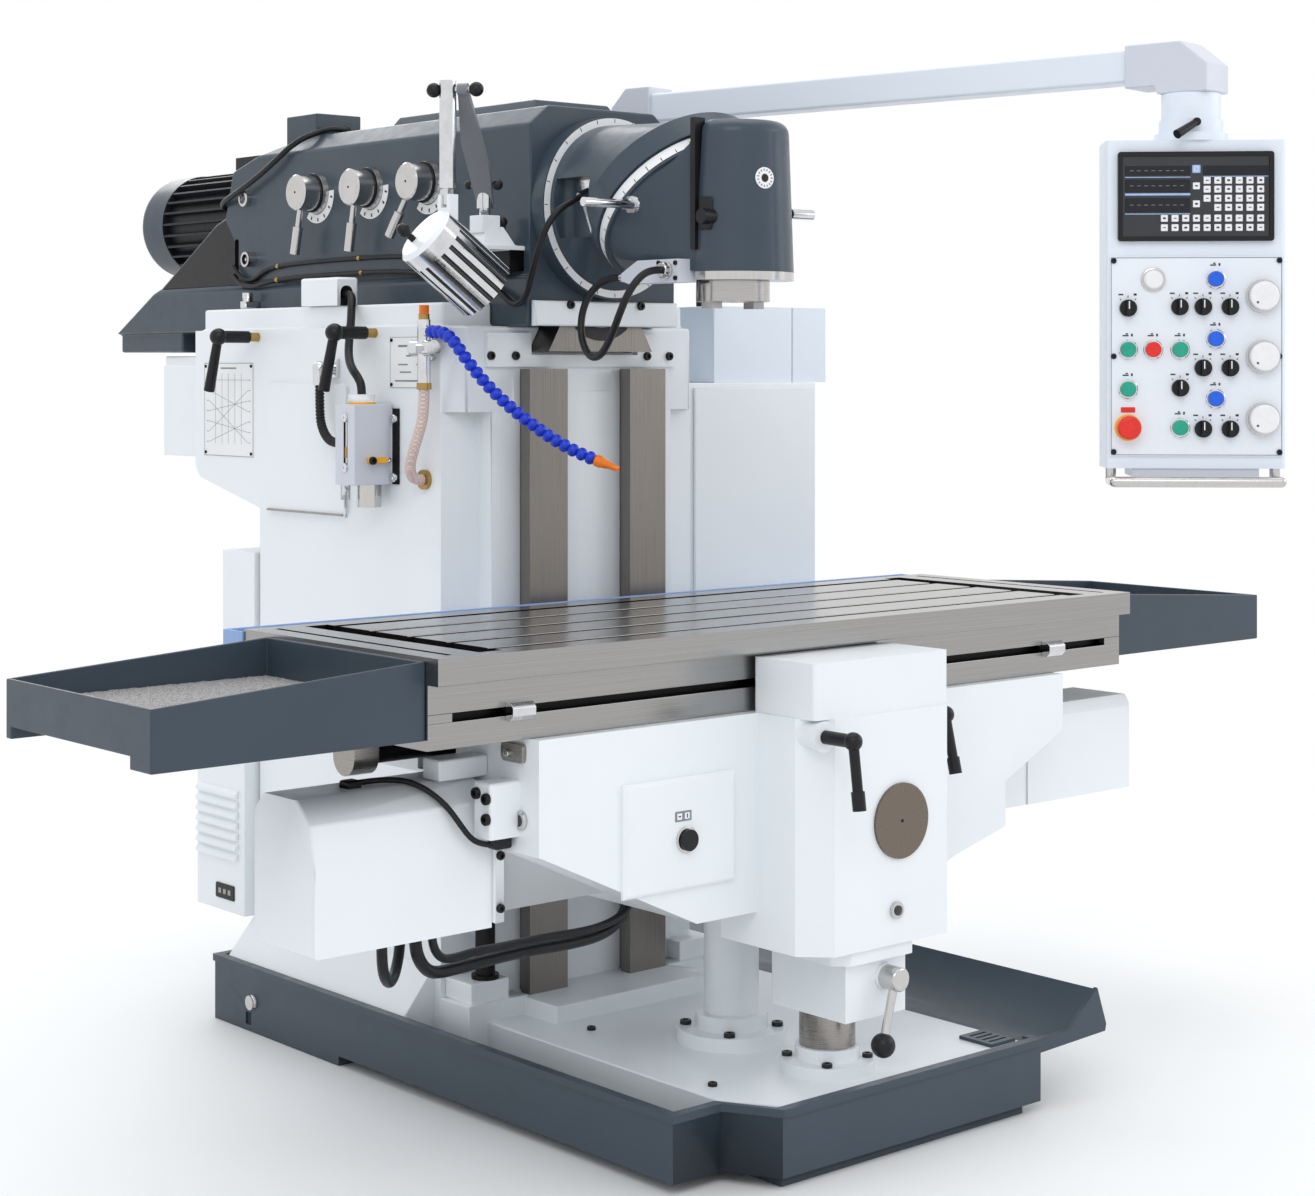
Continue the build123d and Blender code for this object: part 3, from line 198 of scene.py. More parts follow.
def brushed_disc(name, slot, color, rough, centre):
    """Metal brushed outwards from a centre, on an upright face."""
    made = Finish(name, slot, color, rough, 1.0)
    middle = made.node("ShaderNodeVectorMath", Vector=made.place())
    middle.operation = "SUBTRACT"
    middle.inputs[1].default_value = centre
    parts = made.node("ShaderNodeSeparateXYZ", Vector=middle.outputs["Vector"])
    rays = made.node("ShaderNodeTexNoise", Scale=34.0, Detail=4.0)
    rays.noise_dimensions = "1D"
    made.set(rays.inputs["W"], made.math("ARCTAN2", parts.outputs["Z"], parts.outputs["X"]))
    made.vary(rays.outputs["Fac"], 0.16)
    made.dull(rays.outputs["Fac"], 0.08)
    return made.material


def grit(name, slot, dark, light):
    """Loose chips and grit: dark and pale grains."""
    made = Finish(name, slot, dark, 0.7)
    cells = made.node("ShaderNodeTexVoronoi", Vector=made.place(), Scale=260.0)
    made.tint(cells.outputs["Distance"], dark, light, 0.05, 0.6)
    made.bump(cells.outputs["Distance"], 0.5, 0.001)
    return made.material


def braided(name, slot, color, thread):
    """Clear hose with a woven thread showing through its wall."""
    made = Finish(name, slot, color, 0.28, Transmission_Weight=0.2, IOR=1.4)
    bands = []
    for slope in (1, -1):
        band = made.node("ShaderNodeTexWave", Vector=made.place((1, 1, slope)), Scale=85.0)
        band.bands_direction = "DIAGONAL"
        bands.append(band.outputs["Fac"])
    made.tint(made.math("MULTIPLY", *bands), color, thread, 0.2, 0.6)
    return made.material


def glass_panel(name, slot, color):
    """Dark display window, glossy, with a faint cast."""
    made = Finish(name, slot, color, 0.12, Coat_Weight=0.4, Coat_Roughness=0.05)
    made.vary(made.noise(made.place(), 12), 0.3)
    return made.material


SLATE = paint("slate_enamel", "slate_paint", (0.042, 0.061, 0.083), 0.36, 0.06, 0.3)
WHITE = paint("white_enamel", "white_paint", (0.80, 0.84, 0.87), 0.36, 0.012)
PALE = paint("pale_enamel", "pale_paint", (0.60, 0.63, 0.70), 0.38, 0.02)
ARM_PAINT = paint("arm_enamel", "pale_paint", (0.74, 0.80, 0.88), 0.36, 0.012)
PANEL = paint("panel_enamel", "pale_paint", (0.78, 0.82, 0.88), 0.42, 0.012)
GREY = paint("grey_enamel", "pale_paint", (0.17, 0.18, 0.20), 0.36, 0.04)
# Blue for the rear gutter: painted reflection, the blue seen on its polished metal put into the colour.
BLUE_REFLECTION_PAINT = paint("gutter_painted_blue_reflection", "pale_paint", (0.25, 0.38, 0.66), 0.30, 0.10)
WAY_STEEL = ground_metal("way_steel", "ground_steel", (0.225, 0.208, 0.193), 0.34, (900, 900, 6), 0.14, 0.05)
TABLE_STEEL = ground_metal("table_steel", "ground_steel", (0.36, 0.355, 0.35), 0.24, (4, 700, 700),
                           0.07, 0.03)
TURNED = ground_metal("turned_steel", "ground_steel", (0.34, 0.32, 0.30), 0.28, (30, 30, 1400), 0.10, 0.04)
NOSE_STEEL = ground_metal("nose_steel", "ground_steel", (0.46, 0.45, 0.44), 0.2, (30, 30, 1200), 0.05, 0.03)
OILED = ground_metal("oiled_steel", "ground_steel", (0.022, 0.021, 0.021), 0.42, (300, 300, 300))
BRIGHT = ground_metal("bright_steel", "chrome", (0.58, 0.57, 0.56), 0.2, (1400, 30, 30), 0.06, 0.03)
CHROME = polished("chrome_plate", (0.66, 0.67, 0.69), 0.12)
# Near-black chrome for the shade's flute hollows: painted dark reflection stripes, not a colour of the metal.
CHROME_PAINTED_DARK_REFLECTION = polished("chrome_painted_dark_reflection", (0.06, 0.062, 0.066), 0.16)
BRASS = polished("turned_brass", (0.42, 0.27, 0.09), 0.24)
BLACK = moulded("black_plastic", "black_plastic", (0.008, 0.008, 0.010), 0.34, 0.08, 0.3)
RUBBER = moulded("black_jacket", "black_rubber", (0.009, 0.009, 0.011), 0.40, 0.2, 0.3)
FINS = moulded("motor_black", "black_plastic", (0.013, 0.015, 0.019), 0.45, 0.08, 0.25)
BLUE = moulded("hose_blue", "blue_plastic", (0.005, 0.036, 0.56), 0.32)
KEY_BLUE = moulded("button_blue", "blue_plastic", (0.010, 0.11, 0.70), 0.3)
ORANGE = moulded("nozzle_orange", "red_plastic", (0.86, 0.19, 0.008), 0.36)
RED = moulded("signal_red", "red_plastic", (0.74, 0.024, 0.018), 0.3)
GREEN = moulded("button_green", "green_plastic", (0.012, 0.34, 0.23), 0.3)
YELLOW = moulded("lever_yellow", "red_plastic", (0.86, 0.40, 0.008), 0.36)
LIGHT = moulded("light_plastic", "light_plastic", (0.80, 0.80, 0.82), 0.4, 0.03)
PRINT = moulded("black_print", "black_plastic", (0.012, 0.012, 0.014), 0.5, 0.1)
GREY_PRINT = moulded("grey_print", "black_plastic", (0.22, 0.23, 0.25), 0.5, 0.1)
GLOW_PRINT = moulded("pale_blue_print", "light_plastic", (0.34, 0.50, 0.80), 0.4, 0.1)
SCALE = paint("scale_white", "white_paint", (0.82, 0.83, 0.84), 0.42, 0.02)
DISC_STEEL = brushed_disc("brushed_cover", "ground_steel", (0.19, 0.16, 0.135), 0.34, (0.035, -0.827, 0.546))
GRIT = grit("tray_grit", "ground_steel", (0.035, 0.035, 0.04), (0.36, 0.35, 0.35))
HOSE_CLEAR = braided("clear_hose", "clear_hose", (0.70, 0.52, 0.47), (0.85, 0.78, 0.74))
SCREEN = glass_panel("display_glass", "black_plastic", (0.010, 0.012, 0.018))
BULB = moulded("lamp_glass", "light_plastic", (0.82, 0.80, 0.74), 0.25, 0.03)


# Pieces

def link(name, data, body=None, finish=None):
    """Put an object in the scene; a piece rides on a body and has a finish."""
    piece = bpy.data.objects.new(name, data)
    scene.collection.objects.link(piece)
    if body:
        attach(piece, body)
    if finish:
        data.materials.append(finish)
    return piece


def link_shape(name, shape, body, finish=None, smooth=35, unit=MM):
    """Piece from a shape in millimetres or another unit, with edges sharp above an angle."""
    bmesh.ops.recalc_face_normals(shape, faces=shape.faces)
    mesh = bpy.data.meshes.new(name)
    shape.to_mesh(mesh)
    shape.free()
    mesh.transform(Matrix.Scale(unit, 4))
    mesh.polygons.foreach_set("use_smooth", [True] * len(mesh.polygons))
    mesh.set_sharp_from_angle(angle=math.radians(smooth))
    return link(name, mesh, body, finish)


def seat(origin, normal):
    """Matrix whose Z points along a normal, with Y as near to upright as it can be."""
    z = Vector(normal).normalized()
    x = (BACK if abs(z.z) > 0.9 else UP).cross(z).normalized()
    return Matrix.Translation(origin) @ Matrix((x, z.cross(x), z)).transposed().to_4x4()


def on_drum(matrix, degrees, radius, height):
    """Seat on the outside of a drum round a seat's Z, with its X along the drum."""
    turn = Matrix.Rotation(math.radians(degrees), 4, "Z")
    return matrix @ turn @ Matrix.Translation((radius, 0, height)) @ Matrix.Rotation(math.pi / 2, 4, "Y")


def ring_of(shape, matrix, radius, height, sides):
    """Circle of points round a seat, at a height above it."""
    points = []
    for index in range(sides):
        angle = 2 * math.pi * index / sides
        spot = Vector((radius * math.cos(angle), radius * math.sin(angle), height))
        points.append(shape.verts.new(matrix @ spot))
    return points


def join_rings(shape, low, high):
    for index in range(len(low)):
        after = (index + 1) % len(low)
        shape.faces.new((low[index], low[after], high[after], high[index]))


def skin(shape, rings, tip=None):
    """Faces from ring to ring, a cap on the first, and a cap or a tip on the last."""
    shape.faces.new(rings[0][::-1])
    for low, high in zip(rings, rings[1:]):
        join_rings(shape, low, high)
    end = rings[-1]
    if tip is None:
        shape.faces.new(end)
    else:
        for before, after in zip(end, end[1:] + end[:1]):
            shape.faces.new((before, after, tip))


def lathe_into(shape, matrix, profile, sides):
    """Turn a list of (height, radius) round a seat's Z; a last radius of zero makes a tip."""
    rings = [ring_of(shape, matrix, radius, height, sides) for height, radius in profile if radius]
    top, top_radius = profile[-1]
    skin(shape, rings, None if top_radius else shape.verts.new(matrix @ Vector((0, 0, top))))


def lathe(name, body, origin, axis, profile, finish, sides=40):
    shape = bmesh.new()
    lathe_into(shape, seat(origin, axis), profile, sides)
    return link_shape(name, shape, body, finish)


def screw_into(shape, matrix, radius):
    """Cap screw with a hexagonal socket."""
    height = 0.75 * radius
    foot = ring_of(shape, matrix, radius, 0, 24)
    wall = ring_of(shape, matrix, radius, 0.8 * height, 24)
    rim = ring_of(shape, matrix, 0.9 * radius, height, 24)
    mouth = ring_of(shape, matrix, 0.55 * radius, height, 6)
    floor = ring_of(shape, matrix, 0.55 * radius, 0.35 * height, 6)
    shape.faces.new(foot[::-1])
    join_rings(shape, foot, wall)
    join_rings(shape, wall, rim)
    for corner in range(6):
        arc = [rim[(4 * corner + step) % 24] for step in range(5)]
        shape.faces.new(arc + [mouth[(corner + 1) % 6], mouth[corner]])
    join_rings(shape, floor, mouth)
    shape.faces.new(floor)


def screws(name, body, places, axis, radius, finish=BLACK):
    """Row of cap screws on one face."""
    shape = bmesh.new()
    for place in places:
        screw_into(shape, seat(place, axis), radius)
    link_shape(name, shape, body, finish)


def slab_into(shape, matrix, width, height, depth, corner=0.0, edge=0.0):
    """Plate on a seat, with rounded corners and a bevelled edge; its foot stays on the seat."""
    outline = []
    arc = 5 if corner else 1
    for number, (x, y) in enumerate(((1, 1), (-1, 1), (-1, -1), (1, -1))):
        middle = Vector((x * (width / 2 - corner), y * (height / 2 - corner), 0))
        for step in range(arc):
            angle = math.pi / 2 * (number + step / 4)
            outline.append(middle + corner * Vector((math.cos(angle), math.sin(angle), 0)))
    shrink = Matrix.Diagonal((1 - 2 * edge / width, 1 - 2 * edge / height, 1))
    inset = [shrink @ point for point in outline]
    rings = []
    for points, level in ((outline, 0), (outline, depth - edge), (inset, depth)):
        rings.append([shape.verts.new(matrix @ (point + level * UP)) for point in points])
    skin(shape, rings)


def slab(name, body, matrix, width, height, depth, finish, corner=0.0, edge=0.0):
    shape = bmesh.new()
    slab_into(shape, matrix, width, height, depth, corner, edge)
    link_shape(name, shape, body, finish)


def marks(name, body, matrix, bars, finish, lift=0.0):
    """Printed bars on a plate: each is (x, y, width, height) and may have a turn in degrees."""
    shape = bmesh.new()
    for x, y, width, height, *turn in bars:
        angle = math.radians(turn[0]) if turn else 0
        place = Matrix.Translation((x, y, lift)) @ Matrix.Rotation(angle, 4, "Z")
        slab_into(shape, matrix @ place, width, height, PRINT_DEPTH)
    link_shape(name, shape, body, finish)


def border(width, height, line):
    """Four bars round a plate's edge."""
    return [(0, height / 2, width, line), (0, -height / 2, width, line),
            (width / 2, 0, line, height), (-width / 2, 0, line, height)]


def sector(name, body, matrix, inner, outer, start, end, depth, finish, steps=48):
    """Flat part of a ring on a seat, between two angles in degrees."""
    shape = bmesh.new()
    rings = []
    for step in range(steps + 1):
        angle = math.radians(start + (end - start) * step / steps)
        ray = Vector((math.cos(angle), math.sin(angle), 0))
        corners = (ray * inner, ray * outer, ray * outer + depth * UP, ray * inner + depth * UP)
        rings.append([shape.verts.new(matrix @ corner) for corner in corners])
    for before, after in zip(rings, rings[1:]):
        join_rings(shape, before, after)
    shape.faces.new(rings[0])
    shape.faces.new(rings[-1][::-1])
    bmesh.ops.remove_doubles(shape, verts=shape.verts, dist=0.001)
    link_shape(name, shape, body, finish)


def radial_bars(radius, angles, length, width):
    """Bars along the rays of a ring, ending at its radius."""
    middle = radius - length / 2
    turns = [(angle, math.radians(angle)) for angle in angles]
    return [(middle * math.cos(turn), middle * math.sin(turn), length, width, angle) for angle, turn in turns]


def route_curve(name, points):
    """NURBS curve with a route's points as its control points."""
    curve = bpy.data.curves.new(name, "CURVE")
    curve.dimensions = "3D"
    spline = curve.splines.new("NURBS")
    spline.points.add(len(points) - 1)
    for point, place in zip(spline.points, points):
        point.co = (*(Vector(place) * MM), 1)
    spline.order_u = 3
    spline.use_endpoint_u = True
    spline.resolution_u = 12
    return curve


def route_line(points):
    """Points read from a route's NURBS curve, in metres."""
    curve = route_curve("route", points)
    guide = bpy.data.objects.new("route", curve)
    mesh = bpy.data.meshes.new_from_object(guide)
    line = [vertex.co.copy() for vertex in mesh.vertices]
    bpy.data.objects.remove(guide)
    bpy.data.curves.remove(curve)
    bpy.data.meshes.remove(mesh)
    return line


def line_length(line):
    return sum((after - before).length for before, after in zip(line, line[1:]))


def along_line(line, count):
    """Evenly spaced points and directions along a line."""
    total = line_length(line)
    spots, travelled, index = [], 0.0, 0
    for number in range(count):
        target = total * number / (count - 1)
        while index < len(line) - 2 and travelled + (line[index + 1] - line[index]).length < target:
            travelled += (line[index + 1] - line[index]).length
            index += 1
        direction = (line[index + 1] - line[index]).normalized()
        spots.append((line[index] + direction * (target - travelled), direction))
    return spots


def ribbed_tube(name, body, node, points, profile, ribs, finish):
    """Tube for a node, along a route, whose radius repeats a profile of (share of a rib, radius)."""
    sides, fine = 20, 8
    spots = along_line(route_line(points), ribs * fine + 1)
    shape = bmesh.new()
    shares, radii = zip(*profile)
    across = spots[0][1].orthogonal().normalized()
    rings = []
    for number, (centre, direction) in enumerate(spots):
        across = (across - direction * across.dot(direction)).normalized()
        turn = Matrix((across, direction.cross(across), direction)).transposed().to_4x4()
        radius = numpy.interp((number % fine) / fine, shares, radii) * MM
        rings.append(ring_of(shape, Matrix.Translation(centre) @ turn, radius, 0, sides))
    skin(shape, rings)
    piece = link_shape(name, shape, body, finish, smooth=80, unit=1)
    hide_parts(node)
    return piece


def declare(points, path=None):
    """Work out the length of a free cord's route, which goes back into the machine; the length is not kept."""
    round(line_length(route_line(points)), 4)


def cord(name, node, diameter, points, finish=RUBBER, free=True):
    """Round cord for a node, along a route."""
    curve = route_curve(name, points)
    for point in curve.splines[0].points:
        point.radius = diameter * MM / 2
    curve.bevel_depth = 1
    curve.bevel_resolution = 6
    curve.use_fill_caps = True
    piece = link(name, curve, body_of[node], finish)
    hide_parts(node)
    if free:
        declare(points)


def within(x0, x1, y0, y1, z0, z1):
    """Test for spots in a box."""
    return lambda spot: x0 < spot.x < x1 and y0 < spot.y < y1 and z0 < spot.z < z1


def around(origin, axis, radius, start, end):
    """Test for spots near an axis, between two distances along it from its origin."""
    axis = Vector(axis).normalized()

    def test(spot):
        offset = spot - Vector(origin)
        along = offset.dot(axis)
        return start < along < end and (offset - along * axis).length < radius
    return test


def dress(piece, base, *rules):
    """Give a piece or a node its finish, and each rule's finish to the faces whose middle passes its test."""
    mesh = nodes.get(piece, piece).data
    mesh.materials.clear()
    mesh.materials.append(base)
    for finish, _ in rules:
        mesh.materials.append(finish)
    for face in mesh.polygons:
        face.material_index = 0
        for number, (_, test) in enumerate(rules, 1):
            if test(face.center / MM):
                face.material_index = number


def soften(node, width, convex=False):
    """Copy of a node with its long edges rounded, as on a casting or a folded sheet. It stands for the node.

    With convex set, edges of faces that have a hollow corner stay sharp.
    """
    width *= MM
    weld, flat, least_bend = 0.000004, math.radians(0.6), math.radians(30)
    least_length, least_depth, least_beside = 4 * width, 2.4 * width, 1.6 * width
    shape = bmesh.new()
    shape.from_mesh(nodes[node].data)
    bmesh.ops.remove_doubles(shape, verts=shape.verts, dist=weld)
    bmesh.ops.dissolve_limit(shape, angle_limit=flat, verts=shape.verts, edges=shape.edges)
    chosen = []
    for edge in shape.edges:
        length = edge.calc_length()
        if len(edge.link_faces) != 2 or length < least_length or edge.calc_face_angle(0) <= least_bend:
            continue
        hollow = not all(loop.is_convex for face in edge.link_faces for loop in face.loops)
        depth = min(face.calc_area() for face in edge.link_faces) / length
        beside = min(other.calc_length() for corner in edge.verts for other in corner.link_edges)
        if depth > least_depth and beside > least_beside and not (convex and hollow):
            chosen.append(edge)
    bmesh.ops.bevel(shape, geom=chosen, offset=width, offset_type="OFFSET", segments=2, profile=0.5,
                    affect="EDGES", clamp_overlap=False)
    piece = link_shape(node + "_form", shape, body_of[node], smooth=40, unit=1)
    piece.modifiers.new("even_shading", "WEIGHTED_NORMAL").keep_sharp = True
    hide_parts(node)
    return piece


# Base and column

dress(soften("base_pan", 3, True), SLATE, (BRIGHT, around((-384, 500, 58), LEFT, 14.5, 0.5, 9)))
dress(soften("base_plate", 3), WHITE, (SLATE, within(290, 365, -800, -700, 118.1, 125)),
      (OILED, around((-240, -58, 188), UP, 26, 0, 401)))
dress(soften("column", 5), WHITE, (BLACK, within(-299.8, -270.2, 322.5, 334.5, 1405.5, 1444.5)),
      (BRASS, around((-300, 204, 1352), LEFT, 9.5, 0.2, 23)),
      (BRASS, around((-300, 617, 1348), LEFT, 9.5, 0.2, 23)))
dress("column_ways", WAY_STEEL)
dress(soften("rear_cabinet", 3), WHITE)
dress(soften("electrical_cabinet", 3), WHITE, (ARM_PAINT, within(380, 705, 15, 205, 1257.2, 1411)))
dress("lift_column", WHITE)
dress("support_column", WHITE, (TURNED, around((0, -688, 118), UP, 47.5, 100, 483)))
dress("arm_post", ARM_PAINT, (BLACK, within(395, 560, 150, 260, 1257.2, 1720)))

# Left side of the column

dress(soften("lubricator", 1.5), PALE,
      (OILED, within(-306.2, -299, 120, 270, 1071, 1213)),
      (LIGHT, around((-352, 171, 1220), UP, 25.5, 0.2, 19)),
      (BRIGHT, around((-336, 171, 1072), DOWN, 23.5, 0.2, 43)),
      (CHROME, around((-374, 191, 1072), DOWN, 9.5, 0.2, 63)),
      (YELLOW, within(-363, -321, 128, 140.8, 1111, 1123)),
      (SCREEN, within(-387.5, -381.5, 164.5, 177.5, 1101, 1199)),
      (CHROME, within(-350, -299, 320, 360, 1240, 1310)),
      (BLACK, around((-340, 205, 1146), BACK, 11.5, 0.2, 57)))
dress("coolant_valve", CHROME,
      (BRASS, around((-324, 13, 1374), UP, 12, -0.1, 10.1)),
      (ORANGE, around((-324, 13, 1384), UP, 12, 0.1, 17)),
      (BRASS, around((-324, 13, 1260), DOWN, 15, 0.1, 13)),
      (BRASS, around((-300, 41, 1084), LEFT, 19, -0.1, 9)))
for lever in ("ram_lever_front", "ram_lever_rear"):
    dress(lever, BLACK)

# Ram, motor and levers

dress(soften("ram", 5), SLATE, (WHITE, within(-171, 171, -119, -100.2, 1362, 1410)),
      (BLACK, within(-169.9, -163, 904, 922, 1469, 1561)))
dress("ram_way", WAY_STEEL)
dress(soften("ram_covers", 3), SLATE,
      (BLACK, within(-70, -40, 655, 681.5, 1765, 1795)),
      (BRIGHT, around((-170, 868, 1643), LEFT, 17.5, 0.2, 11)),
      (BRIGHT, around((-170, 846, 1514), LEFT, 16.5, 0.2, 23)),
      (SCREEN, around((-170, 846, 1514), LEFT, 11.2, 15, 21.9)),
      (CHROME, within(-213, -177, 807, 833, 1408, 1445)),
      (BLACK, within(-199, -171, 43, 85, 1423, 1485)))
dress("drive_motor", FINS, (SLATE, within(-130, 130, 1325.2, 1440, 1480, 1740)))
for number in (1, 2, 3):
    dress(f"speed_lever_{number}", BRIGHT)

# Lamp

lamp_pin = Vector((0.5948, -0.8039, 0))
arm_knobs = (-248.9, -60, 1616)
shade_axis = Vector((0.762, -0.152, -0.63)).normalized()
shade_back = Vector((-341.8, -109.0, 1470)) - 75 * shade_axis
dress(soften("lamp_bracket", 2), WHITE,
      (OILED, within(-203, -171, -82, -16, 1461, 1499.5)),
      (CHROME, around((-234, -49, 1562), UP, 10.5, 0.2, 37)),
      (BLACK, around((-194, -49, 1526), UP, 9.5, 0, 40)))
dress("lamp_arm", GREY, (CHROME, around((-234, -49, 1573), UP, 15.5, 0, 34)),
      (BLACK, around(arm_knobs, lamp_pin, 10.5, 19.5, 42)),
      (BLACK, around(arm_knobs, -lamp_pin, 8.5, 19.5, 36)))
dress("lamp_link", CHROME, (BLACK, around((-372.2, -84.1, 1775), UP, 13.2, -13.2, 13.2)),
      (BLACK, around((-325.8, -146.8, 1775), UP, 13.2, -13.2, 13.2)))


def in_flute(spot):
    """Test for the hollows between the ribs of the lamp's shade."""
    along = (spot - shade_back).dot(shade_axis)
    reach = (spot - shade_back - along * shade_axis).length
    return 28 < along < 151 and 52 < reach < 57.3


# The flute hollows take the near-black chrome: painted dark reflection stripes on the shade.
dress("lamp_head", CHROME,
      (CHROME_PAINTED_DARK_REFLECTION, in_flute),
      (WHITE, around(shade_back, -shade_axis, 60, -0.5, 9)),
      (WHITE, within(-368, -346, -125, -85, 1516, 1592)),
      (BULB, around(shade_back, shade_axis, 27.5, 39.5, 112)))
shade_knob = shade_back + Vector((-6, 20, -10)) - 6 * shade_axis
knob_profile = [(0, 6), (12, 6), (14, 8), (18, 10.5), (24, 11.8), (30, 11.2), (35, 8.5), (38, 4), (38.5, 0)]
lathe("lamp_knob", "lamp_head", shade_knob, -shade_axis, knob_profile, BLACK, 28)

# Head and spindle

dress("swivel_body", SLATE, (CHROME, around((-118, -205, 1600), (-0.9, 0.1, -0.42), 10.6, 3, 23)))
dress("spindle_head", SLATE,
      (BRIGHT, within(-100, 100, -570, -460, 1437, 1452.1)),
      (CHROME, around((-124, -424, 1455), LEFT, 12.5, 0.1, 17)),
      (CHROME, around((-112, -312, 1446), BACK, 8.5, 12.1, 25)),
      (BLACK, within(-105, -80, -473.5, -460.5, 1489.5, 1718)),
      (CHROME, around((-90, -362, 1570), LEFT, 14.5, 7, 171)),
      (BLACK, around((-89, -500, 1545), LEFT, 13.5, 5, 27)),
      (CHROME, around((87, -510, 1556), RIGHT, 9.5, 8, 53)))
on_block = within(-124.1, -82, -452.1, -299.9, 1433.9, 1474.1)
head_mesh = nodes["spindle_head"].data
head_mesh.materials.append(PALE)
for face in head_mesh.polygons:
    square = abs(face.normal.x) < 0.002 or face.normal.x < -0.998
    if face.material_index == 0 and square and on_block(face.center / MM):
        face.material_index = len(head_mesh.materials) - 1
dress("spindle", NOSE_STEEL)

# Knee, table and trays

dress(soften("knee", 5, True), WHITE, (TABLE_STEEL, within(-611, 611, -600, -250, 726.3, 753)),
      (OILED, around((0, -452, 180), UP, 26.5, 0, 260)))
dress(soften("knee_covers", 4, True), WHITE,
      (DISC_STEEL, around((35, -822, 546), FRONT, 62.5, 0.1, 6)),
      (BRIGHT, around((24, -822, 401), FRONT, 14.5, 0.1, 7)),
      (OILED, within(-837, -811, -513, -487, 655.1, 668)),
      (BLACK, within(-649, -615, -631, -605, 555, 574.9)))
dress(soften("support_clamp", 3, True), WHITE)
dress("support_lever", BRIGHT, (BLACK, within(-40, 40, -870, -800, 160, 208.5)))
for lever in ("knee_lever_left", "knee_lever_right", "knee_button"):
    dress(lever, BLACK)
dress(soften("table", 1.2, True), TABLE_STEEL, (OILED, within(-799, 799, -690, -158, 829, 862.5)),
      (OILED, within(-801, 801, -665.5, -640, 758, 786)))
dress(soften("chip_trays", 2), SLATE)
# The rear gutter takes the blue painted reflection.
dress(soften("rear_gutter", 1.5), BLUE_REFLECTION_PAINT)
dress(soften("table_fittings", 1), TURNED, (OILED, around((-790, -424, 688), RIGHT, 16.6, 60, 1520)),
      (CHROME, within(-660, -612, -687, -655, 757, 787)), (CHROME, within(574, 620, -687, -655, 757, 787)))

# Pendant

pendant_origin = Vector(joints["pendant_swivel"]["pos_m"]) / MM
pendant_in = Vector(joints["e_stop_press"]["axis"])
pendant_right = pendant_in.cross(UP)
arm_origin = Vector(joints["arm_swing"]["pos_m"]) / MM
arm_along = ((pendant_origin - arm_origin) * Vector((1, 1, 0))).normalized()


def on_panel(x, z, out):
    """Seat on the pendant's front: x across, z up from the floor, out from the middle plane."""
    middle = pendant_origin * Vector((1, 1, 0))
    return seat(middle + pendant_right * x - pendant_in * out + UP * z, -pendant_in)


def on_box(x0, x1, out0, out1, z0, z1):
    """Test for spots in a box that turns with the pendant."""
    def test(spot):
        offset = spot - pendant_origin
        across, out = offset.dot(pendant_right), -offset.dot(pendant_in)
        return x0 < across < x1 and out0 < out < out1 and z0 < spot.z < z1
    return test


def on_beam(spot):
    """Test for the straight part of the pendant's arm."""
    return 43 < (spot - arm_origin).dot(arm_along) < 1112


dress(soften("pendant_arm", 3), PALE, (ARM_PAINT, on_beam))
dress("pendant_box", ARM_PAINT,
      (PANEL, on_box(-145, 145, 55.1, 60.1, 1130, 1480)),
      (BLACK, on_box(-145, 145, 60.1, 90, 1130, 1480)),
      (BLACK, on_box(-135, 135, 55.1, 66, 1495, 1660)),
      (SCREEN, on_box(-122.9, 120.9, 60.8, 61.2, 1509, 1644)),
      (LIGHT, on_box(-90, -54, 60.1, 75, 1418, 1454)),
      (PALE, on_box(-107, 107, -60, 52, 1100, 1116.9)),
      (BRIGHT, on_box(-150, -120, -60, 90, 1080, 1116.9)),
      (BRIGHT, on_box(120, 150, -60, 90, 1080, 1116.9)),
      (BRIGHT, on_box(-150, 150, 60, 90, 1080, 1116.9)))
dress("pendant_lever", BLACK)
for number in (1, 2, 3):
    dress(f"button_blue_{number}", KEY_BLUE)
    dress(f"override_dial_{number}", LIGHT, (BRIGHT, on_box(-150, 150, 55, 70.4, 1130, 1480)))
for number in (1, 2, 3, 4):
    dress(f"button_green_{number}", GREEN)
dress("button_red", RED)
dress("e_stop", RED)


# Cords

cord("drop_cable", "column_conduits", 16, [
    (-285, 333.7, 1428), (-285, 314, 1428), (-289, 298, 1421), (-299, 284, 1404), (-308, 272, 1378),
    (-319, 261, 1346), (-330, 248, 1318), (-341, 228, 1297), (-349, 204, 1282), (-352, 184, 1270),
    (-352, 171.5, 1255), (-352, 171, 1238.3)])
cord("coolant_tube", "coolant_hose", 20, [
    (-324, 13, 1247.8), (-324, 13, 1220), (-328, 13, 1190), (-336, 17, 1160), (-341, 24, 1133),
    (-341, 33, 1110), (-335, 39, 1093), (-323, 41, 1084), (-308.2, 41, 1084)], HOSE_CLEAR)
upper_conduit = [
    (-178, 913, 1502), (-179, 884, 1474), (-175, 840, 1469), (-174.8, 798, 1488), (-174.8, 745, 1498),
    (-174.8, 560, 1503), (-174.8, 320, 1504), (-174.8, 180, 1494), (-174.8, 86, 1476)]
lower_conduit = [
    (-178, 913, 1482), (-182.8, 884, 1463), (-182.8, 830, 1456), (-182.8, 787, 1461), (-180, 732, 1470),
    (-177, 560, 1474), (-177, 320, 1475), (-180, 180, 1464), (-182.8, 86, 1442)]
cord("upper_conduit", "ram_cables", 9, upper_conduit, free=False)
cord("lower_conduit", "ram_cables", 9, lower_conduit, free=False)
cord("motor_cable", "ram_cables", 12, [
    (-65, 662, 1781), (-88, 653, 1781), (-113, 648, 1778), (-138, 652, 1769), (-161, 667, 1758),
    (-177, 692, 1741), (-185, 726, 1719), (-188, 770, 1697), (-189, 820, 1677), (-189, 870, 1660),
    (-187, 914, 1647), (-180, 956, 1637), (-158, 988, 1630), (-119.5, 1006, 1626)])
